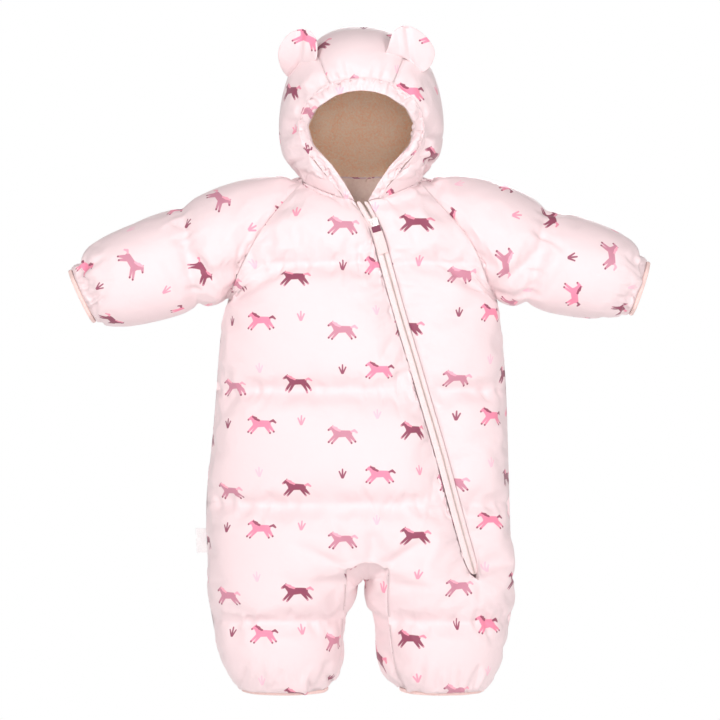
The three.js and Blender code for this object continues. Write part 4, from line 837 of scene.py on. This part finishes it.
FOLDS = [
    {"fold": "crotch, right", "x": -6, "z": -436, "to_x": -72, "to_z": -404, "wide": 7, "deep": 6.5},
    {"fold": "crotch, low right", "x": -8, "z": -446, "to_x": -60, "to_z": -446, "wide": 6, "deep": 3.1},
    {"fold": "crotch, up right", "x": 0, "z": -432, "to_x": -34, "to_z": -378, "wide": 7, "deep": 3.6},
    {"fold": "crotch, up", "x": 10, "z": -430, "to_x": 18, "to_z": -380, "wide": 6, "deep": 3.5},
    {"fold": "crotch, left", "x": 20, "z": -434, "to_x": 74, "to_z": -398, "wide": 7, "deep": 6.5},
    {"fold": "crotch, low left", "x": 26, "z": -446, "to_x": 78, "to_z": -452, "wide": 6, "deep": 3.2},
    {"fold": "left leg, across", "x": 34, "z": -474, "to_x": 88, "to_z": -512, "wide": 6, "deep": 3.1},
    {"fold": "left leg, hip", "x": 112, "z": -446, "to_x": 158, "to_z": -420, "wide": 7, "deep": 3.5},
    {"fold": "left hip, side", "x": 126, "z": -392, "to_x": 168, "to_z": -372, "wide": 6, "deep": 3.1},
    {"fold": "right chest, underarm", "x": -150, "z": -126, "to_x": -92, "to_z": -92, "wide": 7, "deep": 6.5},
    {"fold": "left chest, underarm", "x": 150, "z": -122, "to_x": 104, "to_z": -94, "wide": 7, "deep": 6.5},
    {"fold": "right sleeve, armpit", "x": -156, "z": -116, "to_x": -196, "to_z": -72, "wide": 7, "deep": 6.5},
    {"fold": "left sleeve, armpit", "x": 160, "z": -112, "to_x": 206, "to_z": -70, "wide": 7, "deep": 6.5},
    {"fold": "right sleeve, low", "x": -206, "z": -128, "to_x": -232, "to_z": -84, "wide": 7, "deep": 3.2},
    {"fold": "left sleeve, low", "x": 212, "z": -126, "to_x": 238, "to_z": -82, "wide": 7, "deep": 3.2},
    {"fold": "hood, left inner, high", "x": 74, "z": 85, "to_x": 51, "to_z": 41, "wide": 4, "deep": 6.5},
    {"fold": "hood, left inner, low", "x": 52, "z": 43, "to_x": 14, "to_z": 12, "wide": 4, "deep": 6.5},
    {"fold": "hood, left middle, high", "x": 82, "z": 62, "to_x": 63, "to_z": 29, "wide": 4, "deep": 6.5},
    {"fold": "hood, left middle, low", "x": 64, "z": 31, "to_x": 28, "to_z": 8, "wide": 4, "deep": 6.5},
    {"fold": "hood, left outer, high", "x": 86, "z": 34, "to_x": 63, "to_z": 6, "wide": 4, "deep": 6.5},
    {"fold": "hood, left outer, low", "x": 64, "z": 8, "to_x": 22, "to_z": -8, "wide": 4, "deep": 5.9},
    {"fold": "hood, right cheek, high", "x": -75, "z": 69, "to_x": -52, "to_z": 38, "wide": 5, "deep": 5.9},
    {"fold": "hood, right cheek, low", "x": -54, "z": 40, "to_x": -27, "to_z": -2, "wide": 4, "deep": 6.5},
    {"fold": "hood, right jaw", "x": -80, "z": 22, "to_x": -28, "to_z": -9, "wide": 5, "deep": 6.5},
    {"fold": "hood, right temple", "x": -76, "z": 96, "to_x": -58, "to_z": 88, "wide": 4, "deep": 3.9},
    {"fold": "hood, brow", "x": -52, "z": 112, "to_x": -18, "to_z": 124, "wide": 6, "deep": 2.9},
    {"fold": "hood, left brow", "x": 28, "z": 122, "to_x": 58, "to_z": 100, "wide": 6, "deep": 2.9},
]
SEWN_LINES = [
    {"line": "chest, right", "x": -146, "z": -87, "to_x": 24, "to_z": -85},
    {"line": "chest, left", "x": 36, "z": -85, "to_x": 150, "to_z": -87},
    {"line": "belly, right", "x": -166, "z": -229, "to_x": 66, "to_z": -229},
    {"line": "belly, left", "x": 78, "z": -229, "to_x": 168, "to_z": -230},
    {"line": "hip, right", "x": -176, "z": -359, "to_x": 103, "to_z": -358},
    {"line": "hip, left", "x": 113, "z": -359, "to_x": 172, "to_z": -360},
    {"line": "right leg", "x": -170, "z": -492, "to_x": -16, "to_z": -492},
    {"line": "left leg", "x": 20, "z": -492, "to_x": 172, "to_z": -492},
    {"line": "right sleeve", "x": -205, "z": -18, "to_x": -185, "to_z": -136},
    {"line": "left sleeve", "x": 215, "z": -20, "to_x": 191, "to_z": -134},
]
SEWN_WIDE = 2.6
SEWN_DEEP = 2.0
VALLEY_WIDE = 12.0
VALLEY_DEEP = 4.2
DEEPEST = 8.0
HOOD_GATHERS = {
    "x": 1, "z": 54, "wide": 72, "high": 67,
    "from": -128, "to": 128, "gap": 7, "long": 16, "deep": 3.2,
}
LEAN = 0.55
TROUGH_SHARE = 0.72
RIDGE_HEIGHT = 0.8
PUCKER_WIDTHS = (2.1, 3.7)
GATHER_WIDTHS = (1.7, 2.9)
CHANCE = random.Random(7)


def ends_of(row):
    """Both ends of a line in a table, seen from the front."""
    return np.array([row["x"], row["z"]], dtype=float), np.array([row["to_x"], row["to_z"]], dtype=float)


def along_and_off(flat, low, high):
    """How far along a line each point lies, from 0 to 1, and its distance from the line."""
    reach = high - low
    part = np.clip((flat - low) @ reach / (reach @ reach), 0, 1)
    return part, np.linalg.norm(flat - low - part[:, None] * reach, axis=1)


def move_out(mesh, points, normals, push):
    """Moves each point along its normal by a number of millimetres."""
    set_coordinates(mesh, points + normals * (push * MM)[:, None])


def puckers(run, mirrored):
    """Short creases across a sewn line, alternating ridge and trough at uneven places."""
    start, end = ends_of(run)
    reach = end - start
    length = np.linalg.norm(reach)
    reach = reach / length
    across = np.array([-reach[1], reach[0]])
    place = CHANCE.uniform(0, run["gap"])
    creases = []
    while place < length:
        lean = CHANCE.uniform(-LEAN, LEAN)
        way = across + lean * reach
        spot = start + reach * place
        half = run["long"] * CHANCE.uniform(0.45, 1.15)
        shift = CHANCE.uniform(-0.4, 0.4) * half
        low = spot + way * (shift - half)
        high = spot + way * (shift + half)
        deep = run["deep"] * CHANCE.uniform(0.35, 1.2)
        deep = deep * (1 if CHANCE.random() < TROUGH_SHARE else -RIDGE_HEIGHT)
        creases.append((low * (mirrored, 1), high * (mirrored, 1), CHANCE.uniform(*PUCKER_WIDTHS), deep))
        place += run["gap"] * CHANCE.uniform(0.45, 1.5)
    return creases


def gathers(ring):
    """Short creases that radiate from the face edge, where the casing is drawn in."""
    turn = ring["from"]
    creases = []
    while turn < ring["to"]:
        angle = math.radians(turn)
        way = np.array([math.sin(angle), math.cos(angle)])
        spot = way * (ring["wide"], ring["high"]) + (ring["x"], ring["z"])
        inner = ring["long"] * CHANCE.uniform(0.3, 0.7)
        outer = ring["long"] * CHANCE.uniform(0.4, 1.5)
        deep = ring["deep"] * CHANCE.uniform(0.4, 1.2)
        creases.append((spot - way * inner, spot + way * outer, CHANCE.uniform(*GATHER_WIDTHS), deep))
        turn += ring["gap"] * CHANCE.uniform(0.5, 1.5)
    return creases


def crease_list():
    front_side = gathers(HOOD_GATHERS)
    back_side = []
    for run in PUCKER_RUNS:
        front_side += puckers(run, 1)
        if "zip" not in run["run"]:
            back_side += puckers(run, 1)
    for row in SEWN_LINES:
        low, high = ends_of(row)
        for wide, deep in ((SEWN_WIDE, SEWN_DEEP), (VALLEY_WIDE, VALLEY_DEEP)):
            front_side.append((low, high, wide, deep))
            back_side.append((low, high, wide, deep))
    for row in FOLDS:
        low, high = ends_of(row)
        front_side.append((low, high, row["wide"], row["deep"]))
        if "hood" not in row["fold"]:
            shift = np.array([CHANCE.uniform(-8, 8), CHANCE.uniform(-8, 8)])
            back_side.append((low + shift, high - shift, row["wide"], row["deep"] * CHANCE.uniform(0.6, 1.1)))
    return front_side, back_side


FRONT_CREASES, BACK_CREASES = crease_list()


def press_creases(points, normals, strength):
    """Moves the points in or out along the creases, seen from the front or from behind."""
    push = np.zeros(len(points))
    flat = points[:, [0, 2]] / MM
    facing = normals[:, 1]
    for creases, looks in ((FRONT_CREASES, -1), (BACK_CREASES, 1)):
        seen = np.clip(facing * looks * 3.0 + 0.8, 0, 1)
        for low, high, wide, deep in creases:
            length = np.linalg.norm(high - low)
            near = np.abs(flat - (low + high) / 2).max(axis=1) < length / 2 + wide * 3
            near &= seen > 0
            if not near.any():
                continue
            part, off = along_and_off(flat[near], low, high)
            fade = np.sin(np.pi * np.clip(part * 0.86 + 0.07, 0, 1)) ** 0.7
            push[near] -= deep * fade * np.exp(-((off / wide) ** 2)) * seen[near]
    push = np.maximum(push, -DEEPEST)
    return points + normals * (push * strength * MM)[:, None]


def side_of(mesh):
    """1 for points of the outer skin alone, -1 for the inner skin alone and 0 on the rims."""
    touches = np.zeros((len(mesh.vertices), 3), dtype=bool)
    for face, is_outer, is_inner in zip(mesh.polygons, skin_faces(mesh, "outer"), skin_faces(mesh, "inner")):
        kind = 0 if is_outer else 1 if is_inner else 2
        for i in face.vertices:
            touches[i, kind] = True
    alone = touches.sum(axis=1) == 1
    return np.where(alone & touches[:, 0], 1, np.where(alone & touches[:, 1], -1, 0))


def crease_panel(obj, moves_inside):
    """Presses the creases in; the inner skin goes along unless a lining lies against it."""
    mesh = obj.data
    side = side_of(mesh)
    if not moves_inside:
        side = np.maximum(side, 0)
    outward = normals_of(mesh) * np.where(side < 0, -1, 1)[:, None]
    set_coordinates(mesh, press_creases(coordinates(mesh), outward, np.abs(side)))


for panel in PANELS:
    start_panel(panel)
swell_panels()
for panel in PANELS:
    obj = panel["object"]
    obj.vertex_groups.clear()
    subdivide(obj, 1)
    crease_panel(obj, panel["spine"] != "hood")
    smooth_shaded(obj)
    obj.data.materials.append(shell)
    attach(obj, "suit")
    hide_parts(panel["node"])

# Ears
# Two layers of the shell cloth with a little wadding, sewn round the edge, turned out and
# caught in the hood's seams, with a soft crease down the middle.

EAR_CREASES = [
    {"ear": "ear_right", "x": -66, "z": 178, "to_x": -70, "to_z": 140, "wide": 3.5, "deep": 2.6},
    {"ear": "ear_right", "x": -54, "z": 168, "to_x": -58, "to_z": 150, "wide": 3.5, "deep": 0.9},
    {"ear": "ear_left", "x": 53, "z": 180, "to_x": 58, "to_z": 140, "wide": 3.5, "deep": 2.8},
    {"ear": "ear_left", "x": 42, "z": 170, "to_x": 44, "to_z": 154, "wide": 3.5, "deep": 0.9},
]
EAR_GRAIN_UP = 0.9
EAR_GRAIN_ASIDE = 0.45
EAR_PRINT_SHIFT = (0.02, -0.04)


def make_ear(node):
    obj = copy_of(node, node + "_padded")
    mesh = obj.data
    layer = mesh.uv_layers["cloth"]
    for loop in mesh.loops:
        place = mesh.vertices[loop.vertex_index].co
        layer.data[loop.index].uv = (
            place.x * EAR_GRAIN_UP - place.z * EAR_GRAIN_ASIDE + EAR_PRINT_SHIFT[0],
            place.x * EAR_GRAIN_ASIDE + place.z * EAR_GRAIN_UP + EAR_PRINT_SHIFT[1],
        )
    subdivide(obj, 3)
    points = coordinates(mesh)
    normals = normals_of(mesh)
    flat = points[:, [0, 2]] / MM
    push = np.zeros(len(points))
    for row in EAR_CREASES:
        if row["ear"] == node:
            off = along_and_off(flat, *ends_of(row))[1]
            push -= row["deep"] * np.exp(-((off / row["wide"]) ** 2)) * np.clip(-normals[:, 1] * 2, 0, 1)
    move_out(mesh, points, normals, push)
    smooth_shaded(obj)
    mesh.materials.append(shell)
    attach(obj, "suit")
    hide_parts(node)


for ear in ("ear_right", "ear_left"):
    make_ear(ear)

# Fleece lining
# A knitted pile fleece, cut to the hood's shape and sewn in at the face edge and the neck,
# with its own seams beside the middle strip.

LINING_SEAMS = [
    {"x": -27, "z": 118, "to_x": -20, "to_z": 14},
    {"x": 31, "z": 118, "to_x": 30, "to_z": 14},
]
LINING_SEAM_DEEP = 1.1
LINING_SEAM_WIDE = 1.8
PILE_HEIGHT = 0.7
CLUMP_FINENESS = 190
TUFT_FINENESS = 430
HEAD_MIDDLE = (0.0015, 0.008, 0.07)


def fleece_material():
    base = colour(252, 222, 196)
    material, graph, shader = new_material("fleece_pile", base, 0.95, 0.3)
    here = graph.here()
    tufts = graph.noise(here, 420.0, 4.0)
    clumps = graph.noise(here, 60.0, 2.0)
    shade = graph.mix(graph.remap(clumps, 0.35, 0.7), colour(254, 204, 166), colour(255, 222, 194))
    shade = graph.mix(graph.remap(tufts, 0.3, 0.75), shade, colour(255, 238, 220))
    graph.put(shader.inputs["Base Color"], shade)
    rough = graph.bump(tufts, 0.0016, 0.9)
    graph.put(shader.inputs["Normal"], graph.bump(clumps, 0.002, 0.5, rough))
    return material


def make_lining():
    obj = copy_of("hood_lining", "hood_lining_pile")
    subdivide(obj, 3)
    mesh = obj.data
    points = coordinates(mesh)
    normals = normals_of(mesh)
    inward = np.sum(normals * (points - np.array(HEAD_MIDDLE)), axis=1) < 0
    places = [Vector(point) for point in points]
    clumps = np.array([noise.noise(place * CLUMP_FINENESS) for place in places])
    tufts = np.array([noise.noise(place * TUFT_FINENESS) for place in places])
    push = np.where(inward, (clumps + 0.5 * tufts) * PILE_HEIGHT, 0)
    flat = points[:, [0, 2]] / MM
    for row in LINING_SEAMS:
        off = along_and_off(flat, *ends_of(row))[1]
        push -= LINING_SEAM_DEEP * np.exp(-((off / LINING_SEAM_WIDE) ** 2)) * (inward & (points[:, 1] > 0))
    move_out(mesh, points, normals, push)
    smooth_shaded(obj)
    mesh.materials.append(fleece_material())
    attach(obj, "suit")
    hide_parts("hood_lining")


make_lining()

# Trims
# Narrow elastic bindings fold over the cuffs and hems, a smooth woven tape carries the zip,
# and the neck has a facing of the same colour with a small loop to hang the suit by.

DEEPER = (0.86, 0.76, 0.76)


def trim_material(name, base, ribs):
    material, graph, shader = new_material(name, base, 0.7, 0.3)
    here = graph.here()
    weave = graph.noise(here, ribs, 1.0)
    grain = graph.noise(here, 1600.0)
    deeper = (*[part * fade for part, fade in zip(base, DEEPER)], 1)
    graph.put(shader.inputs["Base Color"], graph.mix(graph.remap(weave, 0.3, 0.7, 0.0, 0.35), base, deeper))
    ribbed = graph.bump(weave, 0.0006, 0.7)
    graph.put(shader.inputs["Normal"], graph.bump(grain, 0.0001, 0.6, ribbed))
    return material


def carry(node, material, levels, body="suit", bevel=0.0):
    """A finer copy of a CAD piece, with rounded edges."""
    obj = copy_of(node, node + "_finished")
    if bevel:
        modifier = obj.modifiers.new("soft edges", "BEVEL")
        modifier.width = bevel * MM
        modifier.segments = 3
        modifier.limit_method = "ANGLE"
        modifier.angle_limit = math.radians(35)
        apply_modifiers(obj)
    if levels:
        subdivide(obj, levels)
    smooth_shaded(obj)
    obj.data.materials.append(material)
    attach(obj, body)
    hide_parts(node)


binding_cloth = trim_material("elastic_binding", colour(247, 214, 208), 500.0)
tape_cloth = trim_material("zip_tape", colour(245, 223, 223), 700.0)
facing_cloth = trim_material("neck_facing", colour(254, 228, 216), 300.0)
for part in ("cuff_binding_right", "cuff_binding_left", "hem_binding_right", "hem_binding_left"):
    carry(part, binding_cloth, 2)
for part in ("zip_tape_right", "zip_tape_left"):
    carry(part, tape_cloth, 1)
carry("neck_facing", facing_cloth, 1)
carry("hanging_loop", facing_cloth, 1)

# Zip coil and slider
# The coil is a flattened spiral of nylon along the inner edge of each tape, closed below the
# slider. The slider is enamelled metal, with a wire, a soft moulded block and a ribbon pull.

ZIP_LINE = [
    {"height": -15, "x": 2},
    {"height": -45, "x": 18},
    {"height": -83, "x": 29},
    {"height": -141, "x": 45},
    {"height": -194, "x": 61},
    {"height": -232, "x": 72},
    {"height": -299, "x": 92},
    {"height": -355, "x": 107},
    {"height": -409, "x": 122},
    {"height": -442, "x": 131},
]
COIL_PITCH = 1.35
COIL_HALF = 0.6
COIL_RISE = 0.35
COIL_WIRE = 0.22
COIL_TOP = -20
COIL_END = -438
SLIDER_HEIGHT = -42
COIL_OPEN = 1.2
COIL_OPEN_LENGTH = 20
COIL_STEPS = 8
COIL_OVERLAP = 0.82
COIL_FORWARD = 0.55
TAPE_EDGE = 1.6
DEPTH_STEP = 4.0


def zip_x(height):
    """The zip line, curved smoothly through its table."""
    rows = ZIP_LINE
    i = 0
    while i < len(rows) - 2 and height < rows[i + 1]["height"]:
        i += 1

    def slope(j):
        before = rows[max(j - 1, 0)]
        after = rows[min(j + 1, len(rows) - 1)]
        return (after["x"] - before["x"]) / (after["height"] - before["height"])

    span = rows[i + 1]["height"] - rows[i]["height"]
    t = min(max((height - rows[i]["height"]) / span, 0), 1)
    start = (2 * t**3 - 3 * t**2 + 1) * rows[i]["x"] + (t**3 - 2 * t**2 + t) * span * slope(i)
    end = (3 * t**2 - 2 * t**3) * rows[i + 1]["x"] + (t**3 - t**2) * span * slope(i + 1)
    return start + end


def tree_of(*names):
    meshes = [bpy.data.objects[name].data for name in names]
    return [
        BVHTree.FromPolygons([v.co[:] for v in mesh.vertices], [p.vertices[:] for p in mesh.polygons])
        for mesh in meshes
    ]


def front_at(trees, x, z):
    """How far forward the first surface lies at a place seen from the front."""
    hits = [tree.ray_cast(Vector((x * MM, -0.4, z * MM)), Vector((0, 1, 0)))[0] for tree in trees]
    depths = [hit.y / MM for hit in hits if hit is not None]
    return min(depths) if depths else None


def tube(name, path, radius, sides):
    """A round strand along a path of points in millimetres, closed at both ends."""
    points = np.array(path)
    ahead = np.gradient(points, axis=0)
    ahead /= np.linalg.norm(ahead, axis=1)[:, None]
    first = np.cross(ahead, np.array([0.31, 0.2, 0.93]))
    first /= np.linalg.norm(first, axis=1)[:, None]
    second = np.cross(ahead, first)
    rings = []
    for k in range(sides):
        angle = 2 * math.pi * k / sides
        rings.append(points + radius * (math.cos(angle) * first + math.sin(angle) * second))
    vertices = (np.stack(rings, axis=1).reshape(-1, 3) * MM).tolist()
    faces = []
    for i in range(len(points) - 1):
        for k in range(sides):
            a = i * sides + k
            b = i * sides + (k + 1) % sides
            faces.append((a, b, b + sides, a + sides))
    faces.append(tuple(range(sides))[::-1])
    last = (len(points) - 1) * sides
    faces.append(tuple(range(last, last + sides)))
    obj = object_from(name, vertices, faces)
    for face in obj.data.polygons:
        face.use_smooth = True
    return obj


def make_coil(side, name):
    trees = tree_of("zip_tape_right", "zip_tape_left")
    levels = np.arange(COIL_TOP, COIL_END, -DEPTH_STEP)
    depths = []
    for level in levels:
        here = front_at(trees, zip_x(level) + side * TAPE_EDGE, level)
        depths.append(here if here is not None else np.nan)
    depths = np.array(depths)
    known = ~np.isnan(depths)
    turns = (COIL_TOP - COIL_END) / COIL_PITCH
    path = []
    for step in range(int(turns * COIL_STEPS)):
        level = COIL_TOP - step * COIL_PITCH / COIL_STEPS
        open_part = min(max((level - SLIDER_HEIGHT) / COIL_OPEN_LENGTH, 0), 1)
        middle = zip_x(level) + side * (COIL_HALF * COIL_OVERLAP + COIL_OPEN * open_part)
        depth = float(np.interp(-level, -levels[known], depths[known]))
        angle = 2 * math.pi * step / COIL_STEPS
        across = middle + side * COIL_HALF * math.cos(angle)
        path.append((across, depth - COIL_FORWARD - COIL_RISE * math.sin(angle), level))
    return tube(name, path, COIL_WIRE, 5)


def grained_material(name, base, roughness, grain, deep, strength, metallic=0.0):
    """A hard or moulded finish with a fine uneven surface."""
    material, graph, shader = new_material(name, base, roughness)
    shader.inputs["Metallic"].default_value = metallic
    graph.put(shader.inputs["Normal"], graph.bump(graph.noise(graph.here(), grain), deep, strength))
    return material


nylon = grained_material("nylon_coil", colour(226, 210, 203), 0.4, grain=900.0, deep=0.0001, strength=0.5)
for side, name in ((-1, "zip_coil_right"), (1, "zip_coil_left")):
    coil = make_coil(side, name)
    coil.data.materials.append(nylon)
    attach(coil, "suit")

white = colour(243, 238, 236)
maroon = colour(128, 62, 84)
enamel = grained_material("slider_enamel", white, 0.25, grain=500.0, deep=0.00008, strength=0.4, metallic=0.2)
rubber = grained_material("pull_block_rubber", maroon, 0.55, grain=800.0, deep=0.0002, strength=0.6)
ribbon_cloth = trim_material("pull_ribbon", colour(247, 220, 219), 900.0)
label_cloth = trim_material("label_satin", colour(246, 243, 243), 700.0)
carry("zip_slider", enamel, 0, bevel=0.35)
carry("pull_bail", enamel, 1, body="pull")
carry("pull_block", rubber, 0, body="pull", bevel=0.5)
carry("pull_tab", ribbon_cloth, 0, body="pull", bevel=0.4)
carry("side_label", label_cloth, 0, bevel=0.3)

sizes = {"before": box_before, "after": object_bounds()}
sizes = {key: [[float(value) for value in corner] for corner in box] for key, box in sizes.items()}
